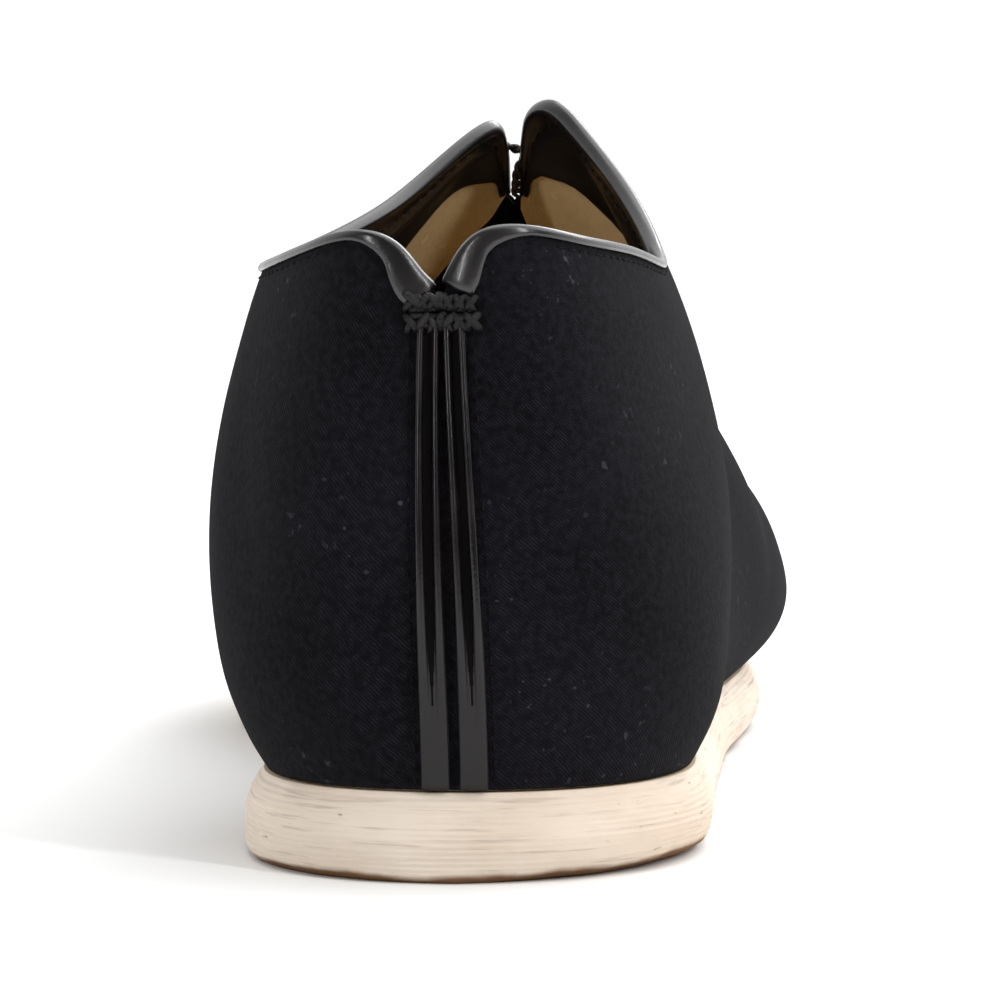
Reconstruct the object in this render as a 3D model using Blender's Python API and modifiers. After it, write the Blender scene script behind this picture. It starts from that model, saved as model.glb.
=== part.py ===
"""A right-foot cloth shoe with a layered cloth sole, for Blender 4.5.

The upper is two cloth halves joined at the back seam and down the middle of the vamp.
Its top edge rises to two humps behind, dips at the sides and rises again to two peaks
with a slit between them. A leather strip binds the edge of each half, and the same
strip covers the seams at the heel and on the vamp.

Frame: +Y to the toe, +X to the little-toe side, +Z up, in metres. The origin is on the
floor, under the middle of the heel. Heights are measured from the floor, and lengths
along the shoe from the back end of the sole.
"""

from collections import namedtuple

import bmesh
import bpy
import numpy as np
from mathutils import Vector
from mathutils.bvhtree import BVHTree

# Sole
SOLE_LENGTH = 0.280
HEEL_WIDTH = 0.0680
WAIST_WIDTH = 0.0655
BALL_WIDTH = 0.0920
TOE_WIDTH = 0.0860
HEEL_THICKNESS = 0.0125
FOREPART_THICKNESS = 0.0108
TOE_SPRING = 0.0070
EDGE_BULGE = 0.0028
HEEL_CENTRE = 0.0350

# Upper
WALL = 0.0024
FEATHER_INSET = 0.0004
COLLAR_WIDTH = 0.0600
BACK_HEIGHT = 0.0908
NOTCH_DEPTH = 0.0096
SIDE_HEIGHT = 0.0850
PEAK_HEIGHT = 0.1080
THROAT_HEIGHT = 0.0927
BALL_HEIGHT = 0.0660
TOE_HEIGHT = 0.0440
SLIT_ACROSS = 0.0030
SEAM_ACROSS = -0.0040
SWELL = 0.0100
CROWN = 0.0100

# Leather strips, thread and cord
STRIP = 0.0009
LIP = 0.0018
NOTCH_LIP = 0.0046
FACING = 0.0140
HEEL_STRIP_WIDTH = 0.0038
VAMP_STRIP_WIDTH = 0.0040
STRIP_RIDGE = 0.0005
SEAM_GAP = 0.0014
BARTACK_WIDTH = 0.0100
BARTACK_HEIGHT = 0.0037
BARTACK_THICKNESS = 0.0017
TIE_DIAMETER = 0.0016

# Insole
INSOLE_THICKNESS = 0.0030
INSOLE_INSET = 0.0042

# Clearance between pieces that touch
GAP = 0.0003

# Fineness of the facets
STATIONS_PER_ROW = 3
ROWS_UP_THE_WALL = 10
OUTLINE_POINTS = 44

LATERAL, MEDIAL = 1, -1
SIDE_NAMES = {LATERAL: "lateral", MEDIAL: "medial"}

# along: share of the sole's length. width: full width there, before the ends are rounded.
# lateral: the share of that width on the little-toe side of the axis.
OutlineRow = namedtuple("OutlineRow", "along width lateral")
SOLE_OUTLINE = (
    OutlineRow(0.000, 1.000 * HEEL_WIDTH, 0.470),
    OutlineRow(0.130, 1.000 * HEEL_WIDTH, 0.504),
    OutlineRow(0.230, 0.985 * HEEL_WIDTH, 0.517),
    OutlineRow(0.380, 1.000 * WAIST_WIDTH, 0.555),
    OutlineRow(0.500, 0.790 * BALL_WIDTH, 0.527),
    OutlineRow(0.630, 0.957 * BALL_WIDTH, 0.488),
    OutlineRow(0.725, 1.000 * BALL_WIDTH, 0.478),
    OutlineRow(0.860, 1.000 * TOE_WIDTH, 0.462),
    OutlineRow(1.000, 0.850 * TOE_WIDTH, 0.450),
)
HEEL_ROUND, TOE_ROUND = 0.140, 0.270
ROUND_POWER = 2.25

# The sole's edge from the floor up. height: share of the thickness. inset: share of EDGE_BULGE.
# worn: how far this level takes part in the wear of the lower edge.
EdgeRow = namedtuple("EdgeRow", "height inset worn")
SOLE_EDGE = (
    EdgeRow(0.00, 0.80, 1.00),
    EdgeRow(0.08, 0.36, 0.70),
    EdgeRow(0.24, 0.10, 0.25),
    EdgeRow(0.48, 0.00, 0.00),
    EdgeRow(0.72, 0.25, 0.00),
    EdgeRow(0.90, 0.68, 0.00),
    EdgeRow(1.00, 1.00, 0.00),
)

# Wear of the lower edge. share: along the half outline. The rest: shares of EDGE_BULGE.
WearRow = namedtuple("WearRow", "share lateral medial")
EDGE_WEAR = (
    WearRow(0.00, -0.40, -0.40),
    WearRow(0.05, 0.80, 0.10),
    WearRow(0.09, 1.10, 0.10),
    WearRow(0.13, 1.30, -0.30),
    WearRow(0.18, 0.40, -0.40),
    WearRow(0.45, 0.00, 0.00),
    WearRow(0.62, 0.40, 0.20),
    WearRow(1.00, 0.20, 0.20),
)

# Heights of the bound top edge and of the vamp that the sections below refer to.
LEVELS = {
    "notch": BACK_HEIGHT - NOTCH_DEPTH,
    "back": BACK_HEIGHT,
    "side": SIDE_HEIGHT,
    "peak": PEAK_HEIGHT,
    "slit": 0.5 * (PEAK_HEIGHT + THROAT_HEIGHT),
    "throat": THROAT_HEIGHT,
    "ball": BALL_HEIGHT,
    "toe": TOE_HEIGHT,
}

# A row is one section of the wall, from the sole's edge to the top edge or the vamp's middle.
# foot: share of the half outline, from the middle of the heel to the middle of the toe.
# along: of the section's top point, share of the sole's length. across: of the same point, from
# the middle line outwards, share of half the collar's width. On the vamp, whose two halves meet
# in the middle, only the upper handle stands off by it. level, height: share of that level.
# swell, lift: the lower handle of the section's curve. crown, sink: the upper handle. They stand
# out by shares of SWELL and CROWN, and up or down by shares of the section's height.
SectionRow = namedtuple("SectionRow", "foot along across level height swell lift crown sink")
LATERAL_QUARTER = (
    SectionRow(0.000, 0.025, 0.000, "notch", 1.000, 0.60, 0.26, 0.35, 0.36),
    SectionRow(0.016, 0.024, 0.060, "back", 0.945, 0.62, 0.26, 0.37, 0.36),
    SectionRow(0.036, 0.023, 0.153, "back", 0.987, 0.66, 0.25, 0.40, 0.36),
    SectionRow(0.068, 0.026, 0.350, "back", 1.005, 0.72, 0.24, 0.50, 0.36),
    SectionRow(0.118, 0.054, 0.615, "back", 0.988, 0.82, 0.22, 0.72, 0.37),
    SectionRow(0.180, 0.125, 0.835, "side", 1.030, 0.92, 0.20, 1.02, 0.37),
    SectionRow(0.240, 0.200, 0.905, "side", 1.003, 0.92, 0.20, 1.18, 0.37),
    SectionRow(0.295, 0.268, 0.825, "side", 1.028, 0.88, 0.20, 1.35, 0.34),
    SectionRow(0.340, 0.332, 0.605, "peak", 0.894, 0.88, 0.210, 1.55, 0.27),
    SectionRow(0.372, 0.375, 0.345, "peak", 0.976, 0.95, 0.225, 1.75, 0.19),
    SectionRow(0.392, 0.396, 0.195, "peak", 1.008, 1.02, 0.235, 1.90, 0.15),
    SectionRow(0.408, 0.414, 0.087, "peak", 0.990, 1.10, 0.243, 2.02, 0.12),
    SectionRow(0.424, 0.430, 0.072, "slit", 1.007, 1.19, 0.250, 2.13, 0.11),
    SectionRow(0.438, 0.449, 0.066, "throat", 1.032, 1.27, 0.256, 2.23, 0.105),
)
MEDIAL_QUARTER = (
    SectionRow(0.000, 0.025, 0.000, "notch", 1.000, 0.60, 0.26, 0.35, 0.36),
    SectionRow(0.016, 0.024, 0.100, "back", 0.931, 0.64, 0.26, 0.37, 0.36),
    SectionRow(0.036, 0.025, 0.193, "back", 0.969, 0.70, 0.25, 0.42, 0.36),
    SectionRow(0.068, 0.029, 0.367, "back", 0.996, 0.80, 0.24, 0.55, 0.36),
    SectionRow(0.118, 0.064, 0.655, "back", 0.974, 0.96, 0.22, 0.80, 0.38),
    SectionRow(0.180, 0.143, 0.940, "side", 1.003, 1.24, 0.20, 1.04, 0.40),
    SectionRow(0.245, 0.207, 1.030, "side", 1.000, 1.36, 0.20, 1.14, 0.40),
    SectionRow(0.305, 0.271, 0.970, "side", 1.020, 1.38, 0.20, 1.25, 0.37),
    SectionRow(0.350, 0.332, 0.635, "peak", 0.858, 1.42, 0.210, 1.50, 0.30),
    SectionRow(0.380, 0.371, 0.390, "peak", 0.919, 1.42, 0.225, 1.78, 0.22),
    SectionRow(0.398, 0.396, 0.183, "peak", 0.968, 1.43, 0.235, 1.93, 0.16),
    SectionRow(0.412, 0.413, 0.090, "peak", 0.974, 1.45, 0.243, 2.04, 0.13),
    SectionRow(0.426, 0.430, 0.072, "slit", 1.007, 1.47, 0.250, 2.15, 0.115),
    SectionRow(0.440, 0.449, 0.066, "throat", 1.032, 1.49, 0.256, 2.25, 0.105),
)
LATERAL_VAMP = (
    SectionRow(0.452, 0.461, 0.056, "throat", 1.000, 1.36, 0.262, 2.36, 0.105),
    SectionRow(0.530, 0.538, 0.040, "ball", 1.235, 1.92, 0.29, 3.10, 0.13),
    SectionRow(0.605, 0.625, 0.020, "ball", 1.010, 2.25, 0.31, 3.45, 0.15),
    SectionRow(0.680, 0.715, 0.006, "ball", 0.850, 2.15, 0.35, 3.40, 0.12),
    SectionRow(0.765, 0.800, 0.000, "toe", 1.155, 1.60, 0.43, 2.80, 0.08),
    SectionRow(0.850, 0.860, 0.000, "toe", 1.080, 1.10, 0.50, 2.20, 0.05),
    SectionRow(0.930, 0.895, 0.000, "toe", 1.030, 0.75, 0.58, 1.60, 0.02),
    SectionRow(1.000, 0.907, 0.000, "toe", 1.000, 0.65, 0.60, 1.40, 0.03),
)
MEDIAL_VAMP = (
    SectionRow(0.452, 0.461, 0.056, "throat", 1.000, 1.52, 0.262, 2.36, 0.105),
    SectionRow(0.530, 0.538, 0.040, "ball", 1.235, 1.75, 0.29, 3.10, 0.12),
    SectionRow(0.605, 0.625, 0.020, "ball", 1.010, 1.90, 0.31, 3.45, 0.13),
    SectionRow(0.680, 0.715, 0.006, "ball", 0.850, 1.80, 0.35, 3.35, 0.10),
    SectionRow(0.765, 0.800, 0.000, "toe", 1.155, 1.45, 0.43, 2.75, 0.07),
    SectionRow(0.850, 0.860, 0.000, "toe", 1.080, 1.00, 0.50, 2.15, 0.05),
    SectionRow(0.930, 0.895, 0.000, "toe", 1.030, 0.72, 0.58, 1.60, 0.02),
    SectionRow(1.000, 0.907, 0.000, "toe", 1.000, 0.65, 0.60, 1.40, 0.03),
)
SECTIONS = {LATERAL: LATERAL_QUARTER + LATERAL_VAMP, MEDIAL: MEDIAL_QUARTER + MEDIAL_VAMP}
THROAT_ROW = len(LATERAL_QUARTER)
LAST_ROW = len(SECTIONS[LATERAL]) - 1

# Across a seam strip: place across its width, and how much of the ridge stands on it.
StripRow = namedtuple("StripRow", "place height ridge")
STRIP_SECTION = (
    StripRow(0.00, 0.55, 0.0),
    StripRow(0.15, 1.00, 1.0),
    StripRow(0.50, 0.90, 0.0),
    StripRow(0.85, 1.00, 1.0),
    StripRow(1.00, 0.55, 0.0),
)


def spline(knots, values, at):
    """Natural cubic curve through values at knots, read at the given places."""
    knots = np.asarray(knots, float)
    values = np.asarray(values, float)
    steps = np.diff(knots)
    count = len(knots)
    matrix = np.eye(count)
    right = np.zeros_like(values)
    for i in range(1, count - 1):
        matrix[i, i - 1 : i + 2] = steps[i - 1], 2 * (steps[i - 1] + steps[i]), steps[i]
        rise = (values[i + 1] - values[i]) / steps[i] - (values[i] - values[i - 1]) / steps[i - 1]
        right[i] = 6 * rise
    bends = np.linalg.solve(matrix, right)
    at = np.asarray(at, float)
    i = np.clip(np.searchsorted(knots, at) - 1, 0, count - 2)
    h = steps[i]
    a = (knots[i + 1] - at) / h
    b = (at - knots[i]) / h
    curve = a * values[i] + b * values[i + 1]
    return curve + ((a**3 - a) * bends[i] + (b**3 - b) * bends[i + 1]) * h**2 / 6


def unit(vectors):
    """The same vectors with length 1."""
    vectors = np.asarray(vectors, float)
    return vectors / np.linalg.norm(vectors, axis=-1, keepdims=True)


def axis_across(along):
    """How far the middle of the sole lies to the little-toe side, at a share of its length."""
    offsets = [(row.lateral - 0.5) * row.width for row in SOLE_OUTLINE]
    return spline([row.along for row in SOLE_OUTLINE], offsets, along)


def middle_across(along):
    """How far the middle line of the top, seam to slit to toe, lies to the little-toe side."""
    toe = axis_across(0.95)
    rows = (
        (0.02, SEAM_ACROSS),
        (0.12, 0.78 * SEAM_ACROSS),
        (0.25, 0.12 * SLIT_ACROSS),
        (0.42, SLIT_ACROSS),
        (0.50, 0.75 * SLIT_ACROSS),
        (0.66, 0.10 * toe),
        (0.95, toe),
    )
    return spline([along for along, _ in rows], [across for _, across in rows], along)


def end_rounding(along):
    """1 in the middle of the sole, and down to 0 along a round end at the heel and the toe."""
    heel = np.clip(1 - along / HEEL_ROUND, 0, 1)
    toe = np.clip(1 - (1 - along) / TOE_ROUND, 0, 1)
    return np.maximum(1 - heel**ROUND_POWER - toe**ROUND_POWER, 0) ** (1 / ROUND_POWER)


def half_outline(side, shares, inset):
    """Points and outward directions on one side of the sole, at shares of its half outline."""
    along = 0.5 - 0.5 * np.cos(np.linspace(0, np.pi, 2001))
    widths = [row.width for row in SOLE_OUTLINE]
    width = spline([row.along for row in SOLE_OUTLINE], widths, along)
    across = axis_across(along) + side * 0.5 * width * end_rounding(along)
    points = np.stack([across, along * SOLE_LENGTH - HEEL_CENTRE], axis=1)
    steps = unit(np.gradient(points, axis=0))
    steps[0] = side, 0
    steps[-1] = -side, 0
    outward = side * np.stack([steps[:, 1], -steps[:, 0]], axis=1)
    walked = np.cumsum(np.linalg.norm(np.diff(points, axis=0, prepend=points[:1]), axis=1))
    at = np.asarray(shares) * walked[-1]
    place = np.stack([np.interp(at, walked, points[:, k]) for k in (0, 1)], axis=1)
    facing = unit(np.stack([np.interp(at, walked, outward[:, k]) for k in (0, 1)], axis=1))
    return place - np.reshape(inset, (-1, 1)) * facing, facing


def sole_bottom(y):
    """Height of the sole's underside: flat to the ball, then rising to the toe."""
    share = (y + HEEL_CENTRE) / SOLE_LENGTH
    start = 0.70
    return TOE_SPRING * np.clip((share - start) / (1 - start), 0, 1.2) ** 2


def sole_top(y):
    """Height of the sole's upper face."""
    share = np.clip(((y + HEEL_CENTRE) / SOLE_LENGTH - 0.25) / 0.35, 0, 1)
    blend = share * share * (3 - 2 * share)
    return sole_bottom(y) + HEEL_THICKNESS + (FOREPART_THICKNESS - HEEL_THICKNESS) * blend


def plain_material(name, colour, roughness):
    """A material of one colour."""
    material = bpy.data.materials.new(name)
    material.use_nodes = True
    shader = material.node_tree.nodes["Principled BSDF"]
    shader.inputs["Base Color"].default_value = (*colour, 1)
    shader.inputs["Roughness"].default_value = roughness
    shader.inputs["Metallic"].default_value = 0
    return material


def mesh_object(name, bm, collection, colour, roughness):
    """An object from a bmesh, with its own plain material."""
    bmesh.ops.recalc_face_normals(bm, faces=bm.faces)
    mesh = bpy.data.meshes.new(name)
    bm.to_mesh(mesh)
    bm.free()
    mesh.shade_smooth()
    mesh.set_sharp_from_angle(angle=np.radians(50))
    obj = bpy.data.objects.new(name, mesh)
    collection.objects.link(obj)
    obj.data.materials.append(plain_material(name, colour, roughness))
    return obj


def bridge(bm, rings):
    """Quads between each closed ring of vertices and the next one."""
    count = len(rings[0])
    for near, far in zip(rings, rings[1:]):
        for i in range(count):
            j = (i + 1) % count
            bm.faces.new((near[i], near[j], far[j], far[i]))


def slab(name, levels, collection, colour, roughness):
    """A solid lofted through level outlines, each a pair of lateral and medial points."""
    bm = bmesh.new()
    rings = []
    for lateral, medial in levels:
        ring = [bm.verts.new(p) for p in lateral]
        ring += [bm.verts.new(p) for p in medial[-2:0:-1]]
        rings.append(ring)
    bridge(bm, rings)
    for ring in (rings[0], rings[-1]):
        half = len(ring) // 2
        for i in range(half):
            corners = (ring[i], ring[i + 1], ring[-i - 1], ring[-i] if i else ring[0])
            bm.faces.new([c for k, c in enumerate(corners) if c not in corners[:k]])
    return mesh_object(name, bm, collection, colour, roughness)


def build_sole(collection):
    """The layered cloth sole: flat below, bulging at its edge, with a little toe spring."""
    shares = np.linspace(0, 1, OUTLINE_POINTS)
    levels = []
    for row in SOLE_EDGE:
        sides = []
        for side in (LATERAL, MEDIAL):
            worn = [getattr(wear, SIDE_NAMES[side]) for wear in EDGE_WEAR]
            wear = np.interp(shares, [wear.share for wear in EDGE_WEAR], worn)
            flat, _ = half_outline(side, shares, (row.inset + row.worn * wear) * EDGE_BULGE)
            low, high = sole_bottom(flat[:, 1]), sole_top(flat[:, 1])
            sides.append(np.column_stack([flat, low + row.height * (high - low)]))
        levels.append(sides)
    return slab("sole", levels, collection, (0.72, 0.64, 0.56), 0.75)


def build_insole(collection):
    """The insole, which lies on the sole inside the foot of the upper."""
    shares = np.linspace(0, 1, OUTLINE_POINTS // 2 + 8)
    edge = 0.25 * INSOLE_THICKNESS
    levels = []
    for inset, height in ((0, 0), (0, INSOLE_THICKNESS - edge), (edge, INSOLE_THICKNESS)):
        sides = []
        for side in (LATERAL, MEDIAL):
            flat, _ = half_outline(side, shares, EDGE_BULGE + INSOLE_INSET + inset)
            sides.append(np.column_stack([flat, sole_top(flat[:, 1]) + GAP + height]))
        levels.append(sides)
    return slab("insole", levels, collection, (0.55, 0.42, 0.26), 0.7)


def wall_points(side, stations, shares):
    """Points on the outer face of one half, as an array of stations by shares up the section."""
    rows = SECTIONS[side]
    feet = [row.foot for row in rows]
    foot_share = np.interp(stations, range(len(rows)), feet)
    table = {}
    for name in ("along", "across", "swell", "lift", "crown", "sink"):
        table[name] = spline(feet, [getattr(row, name) for row in rows], foot_share)
    bound = [0] + [GAP + STRIP] * (THROAT_ROW - 1) + [0] * (len(rows) - THROAT_ROW)
    heights = [LEVELS[row.level] * row.height - low for row, low in zip(rows, bound)]
    height = spline(feet, heights, foot_share)
    flat, facing = half_outline(side, foot_share, EDGE_BULGE + FEATHER_INSET)
    foot = np.column_stack([flat, sole_top(flat[:, 1]) + GAP])
    across = table["across"] * 0.5 * COLLAR_WIDTH
    closing = np.clip(THROAT_ROW - stations, 0, 1)
    edge = across * closing * closing * (3 - 2 * closing)
    x = middle_across(table["along"]) + side * edge
    top = np.column_stack([x, table["along"] * SOLE_LENGTH - HEEL_CENTRE, height])
    rise = (top - foot)[:, 2]
    out = np.column_stack([facing, np.zeros(len(facing))])
    sideways = np.array([side, 0, 0.0])
    turn = np.clip((stations - THROAT_ROW) / (LAST_ROW - THROAT_ROW), 0, 1)[:, None] ** 3
    start = np.clip((stations - THROAT_ROW + 6) / 6, 0, 1)[:, None]
    start = start * start * (3 - 2 * start)
    front = sideways * (1 - turn) + out * turn
    back = sideways * start + out * (1 - start)
    spread = unit(np.where(turn > 0, front, back))
    up = np.array([0, 0, 1.0])
    low = foot + out * (table["swell"] * SWELL)[:, None] + up * (table["lift"] * rise)[:, None]
    shoulder = top + sideways * (across - edge)[:, None]
    high = shoulder + spread * (table["crown"] * CROWN)[:, None]
    high = high - up * (table["sink"] * rise)[:, None]
    foot, low, high, top = (p[:, None, :] for p in (foot, low, high, top))
    v = np.asarray(shares, float)[None, :, None]
    w = 1 - v
    return w**3 * foot + 3 * w * w * v * low + 3 * w * v * v * high + v**3 * top


class Skin:
    """One face of the upper's wall as a grid of points for each half, with a search tree."""

    def __init__(self, vertices, grids):
        self.grids = {side: vertices[index] for side, index in grids.items()}
        faces = []
        for side, index in grids.items():
            for near, far in zip(index, index[1:]):
                for k in range(len(near) - 1):
                    corners = [int(c) for c in (near[k], far[k], far[k + 1], near[k + 1])]
                    faces.append(corners if side == LATERAL else corners[::-1])
        self.tree = BVHTree.FromPolygons([Vector(p) for p in vertices], faces)

    def nearest(self, point):
        """The nearest place on this face, and the outward direction there."""
        place, normal, _, _ = self.tree.find_nearest(Vector(point))
        return np.array(place), np.array(normal)

    def strike(self, point, direction):
        """Where a line through a point, from outside, meets this face, and the way back out."""
        start = np.asarray(point) - 0.5 * COLLAR_WIDTH * np.asarray(direction)
        place, normal, _, _ = self.tree.ray_cast(Vector(start), Vector(direction))
        return np.array(place), np.array(normal)


def build_upper(collection):
    """The cloth upper, with the outer and inner face of its wall for the pieces that lie on it."""
    stations = np.linspace(0, LAST_ROW, LAST_ROW * STATIONS_PER_ROW + 1)
    shares = np.linspace(0, 1, ROWS_UP_THE_WALL)
    bm = bmesh.new()
    verts = {}
    for side in (LATERAL, MEDIAL):
        points = wall_points(side, stations, shares)
        columns = []
        for i, column in enumerate(points):
            joined = i in (0, len(stations) - 1)
            on_ridge = stations[i] >= THROAT_ROW
            row = []
            for k, point in enumerate(column):
                shared = side == MEDIAL and (joined or (on_ridge and k == len(shares) - 1))
                row.append(verts[LATERAL][i][k] if shared else bm.verts.new(point))
            columns.append(row)
        verts[side] = columns
        for near, far in zip(columns, columns[1:]):
            for k in range(len(near) - 1):
                corners = (near[k], far[k], far[k + 1], near[k + 1])
                bm.faces.new(corners if side == LATERAL else corners[::-1])
    bm.verts.index_update()
    grids = {}
    for side, columns in verts.items():
        grids[side] = np.array([[v.index for v in column] for column in columns])
    count = len(bm.verts)
    obj = mesh_object("upper", bm, collection, (0.012, 0.012, 0.014), 0.9)
    thickness = obj.modifiers.new("wall", "SOLIDIFY")
    thickness.thickness = WALL
    thickness.offset = -1
    thickness.use_even_offset = True
    evaluated = obj.evaluated_get(bpy.context.evaluated_depsgraph_get())
    mesh = evaluated.to_mesh()
    place = np.array([v.co for v in mesh.vertices], float)
    evaluated.to_mesh_clear()
    return Skin(place[:count], grids), Skin(place[count : 2 * count], grids), stations


def loft(name, rings, collection, colour, roughness):
    """A solid through closed rings of points, with flat ends."""
    bm = bmesh.new()
    verts = [[bm.verts.new(p) for p in ring] for ring in rings]
    bridge(bm, verts)
    for ring in (verts[0], verts[-1]):
        bm.faces.new(ring)
    return mesh_object(name, bm, collection, colour, roughness)


def build_binding(side, outer, inner, stations, collection):
    """The leather that folds over the edge of one half, with a wide facing inside."""
    edge = outer.grids[side][:, -1]
    back = inner.grids[side][:, -1]
    half_gap = np.linalg.norm(edge[:, :2] - outer.grids[-side][:, -1][:, :2], axis=1) / 2
    open_here = (stations < THROAT_ROW - 0.8) & (half_gap > STRIP + 1.4 * GAP)
    used = np.flatnonzero(open_here)
    path = unit(np.gradient(edge[used], axis=0))
    lips = np.interp(stations, (1.0, 3.2), (NOTCH_LIP, LIP))
    facings = np.interp(stations, (THROAT_ROW - 3.6, THROAT_ROW - 2.6), (FACING, LIP))
    lowest = BACK_HEIGHT - NOTCH_DEPTH + GAP
    rings = []
    for i, ahead in zip(used, path):
        through = unit(edge[i] - back[i])
        down = unit(side * np.cross(ahead, through))
        lip = min(lips[i], (edge[i][2] - lowest) / max(-down[2], 0.1))
        near, far = [], []
        for share in (1, 0.3):
            place, normal = outer.nearest(edge[i] + down * lip * share)
            near.append(place + normal * GAP)
            far.append(place + normal * (GAP + STRIP))
        middle = 0.5 * (edge[i] + back[i])
        half = 0.5 * np.linalg.norm(edge[i] - back[i])
        for turn in np.radians((20, 90, 160)):
            for skin, lift in ((near, GAP), (far, GAP + STRIP)):
                skin.append(middle + through * (half + lift) * np.cos(turn) - down * lift * np.sin(turn))
        for share in (0.05, 0.29, 0.53, 0.77, 1):
            place, normal = inner.nearest(back[i] + down * facings[i] * share)
            near.append(place - normal * GAP)
            far.append(place - normal * (GAP + STRIP))
        rings.append(near + far[::-1])
    name = "collar_binding_" + SIDE_NAMES[side]
    return loft(name, rings, collection, (0.03, 0.022, 0.02), 0.3)


def build_strip(name, lines, collection):
    """A seam strip with a ridge along each edge. lines: places and directions out, across it."""
    rings = []
    for line in lines:
        near, far = [], []
        for (place, normal), row in zip(line, STRIP_SECTION):
            near.append(place + normal * GAP)
            far.append(place + normal * (GAP + row.height * STRIP + row.ridge * STRIP_RIDGE))
        rings.append(near + far[::-1])
    return loft(name, rings, collection, (0.03, 0.022, 0.02), 0.3)


def build_heel_strip(side, outer, collection):
    """The leather strip on one side of the back seam, from the sole up to the bartack."""
    seam = outer.grids[LATERAL][0]
    top = BACK_HEIGHT - NOTCH_DEPTH - BARTACK_HEIGHT - 2 * GAP
    heights = np.linspace(seam[0, 2] + 2 * GAP, top, 16)
    rise = (heights - heights[0]) / (heights[-1] - heights[0])
    width = HEEL_STRIP_WIDTH * spline((0, 0.3, 1), (1.25, 0.95, 1.0), rise)
    start = SEAM_GAP * spline((0, 0.5, 1), (0.22, 0.35, 0.60), rise)
    middle = np.interp(heights, seam[:, 2], seam[:, 0])
    lines = []
    for i, height in enumerate(heights):
        line = []
        for row in STRIP_SECTION:
            x = middle[i] + side * (start[i] + row.place * width[i])
            line.append(outer.strike((x, -HEEL_CENTRE, height), (0, 1, 0)))
        lines.append(line)
    build_strip("heel_strip_" + SIDE_NAMES[side], lines, collection)


def build_vamp_strip(side, outer, stations, collection):
    """The leather strip on one side of the vamp's middle seam, from the slit to the sole."""
    ridge = outer.grids[LATERAL][stations >= THROAT_ROW, -1]
    front = outer.grids[LATERAL][-1][-2::-1]
    seam = np.concatenate([ridge, front])
    path = unit(np.gradient(seam, axis=0))
    inward = unit(np.cross(path, (1, 0, 0)))
    seam[0] += path[0] * 0.5 * SEAM_GAP
    seam[-1] -= path[-1] * 2 * GAP
    lines = []
    for place, into in zip(seam, inward):
        line = []
        for row in STRIP_SECTION:
            x = side * (0.5 * SEAM_GAP + row.place * VAMP_STRIP_WIDTH)
            line.append(outer.strike(place + (x, 0, 0), into))
        lines.append(line)
    build_strip("vamp_strip_" + SIDE_NAMES[side], lines, collection)


def build_bartack(outer, collection):
    """The bar of thread that ties the two halves at the foot of the back notch."""
    top = outer.grids[LATERAL][0][-1]
    rings = []
    for share in np.linspace(-1, 1, 9):
        full = (1 - 0.7 * abs(share) ** 4) ** 0.5
        near, far = [], []
        for row, lift in ((-1, 0.3), (-0.8, 0.75), (-0.3, 1.0), (0.3, 1.0), (0.8, 0.75), (1, 0.3)):
            x = top[0] + 0.5 * BARTACK_WIDTH * share
            z = top[2] - GAP - 0.5 * BARTACK_HEIGHT * (1 - row * full)
            place, normal = outer.strike((x, -HEEL_CENTRE, z), (0, 1, 0))
            near.append(place + normal * GAP)
            far.append(place + normal * (GAP + BARTACK_THICKNESS * lift * full))
        rings.append(near + far[::-1])
    return loft("heel_bartack", rings, collection, (0.01, 0.01, 0.012), 0.6)


def build_tie(outer, stations, collection):
    """The short cord that ties the two halves across the top of the slit."""
    i = int(np.argmin(np.abs(stations - (THROAT_ROW - 2))))
    edges = {side: outer.grids[side][i, -1] for side in (LATERAL, MEDIAL)}
    across = unit(edges[LATERAL] - edges[MEDIAL])
    radius = 0.5 * TIE_DIAMETER
    lift = 2 * GAP + STRIP + radius
    centres = []
    for side, shares in ((MEDIAL, (1.0, 0.8, 0.5, 0.2)), (LATERAL, (0.2, 0.5, 0.8, 1.0))):
        for share in shares:
            place, normal = outer.nearest(edges[side] + side * across * LIP * share)
            centres.append(place + normal * lift)
    centres.insert(4, 0.5 * (centres[3] + centres[4]) + (centres[3] - edges[MEDIAL]) * 0.25)
    centres = np.array(centres)
    path = unit(np.gradient(centres, axis=0))
    rings = []
    for centre, ahead, full in zip(centres, path, (0.55, 0.9, 1, 1, 1, 1, 1, 0.9, 0.55)):
        beside = unit(np.cross(ahead, (0, 1, 0.3)))
        over = np.cross(beside, ahead)
        ring = []
        for turn in np.linspace(0, 2 * np.pi, 8, endpoint=False):
            ring.append(centre + radius * full * (np.cos(turn) * beside + np.sin(turn) * over))
        rings.append(ring)
    return loft("throat_tie", rings, collection, (0.03, 0.02, 0.018), 0.45)


def main():
    for obj in list(bpy.data.objects):
        bpy.data.objects.remove(obj)
    shoe = bpy.data.collections.new("cloth_shoe")
    bpy.context.scene.collection.children.link(shoe)
    build_sole(shoe)
    build_insole(shoe)
    outer, inner, stations = build_upper(shoe)
    for side in (LATERAL, MEDIAL):
        build_binding(side, outer, inner, stations, shoe)
        build_heel_strip(side, outer, shoe)
        build_vamp_strip(side, outer, stations, shoe)
    build_bartack(outer, shoe)
    build_tie(outer, stations, shoe)


main()
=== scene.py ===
"""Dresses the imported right-foot cloth shoe in cloth, leather, thread and layered cotton.

Frame: +Y to the toe, +X to the little-toe side, +Z up, in metres, with the origin on the floor
under the middle of the heel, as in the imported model. Every piece is sewn on the same last: the
outer face of the upper is worked out once, and the bindings, strips and stitches lie on it.
"""

import logging
import math
from dataclasses import dataclass, field
from enum import Enum
from typing import NamedTuple, Sequence

import bmesh
import bpy
import numpy as np
from mathutils import Matrix, Vector, noise
from mathutils.bvhtree import BVHTree

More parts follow.
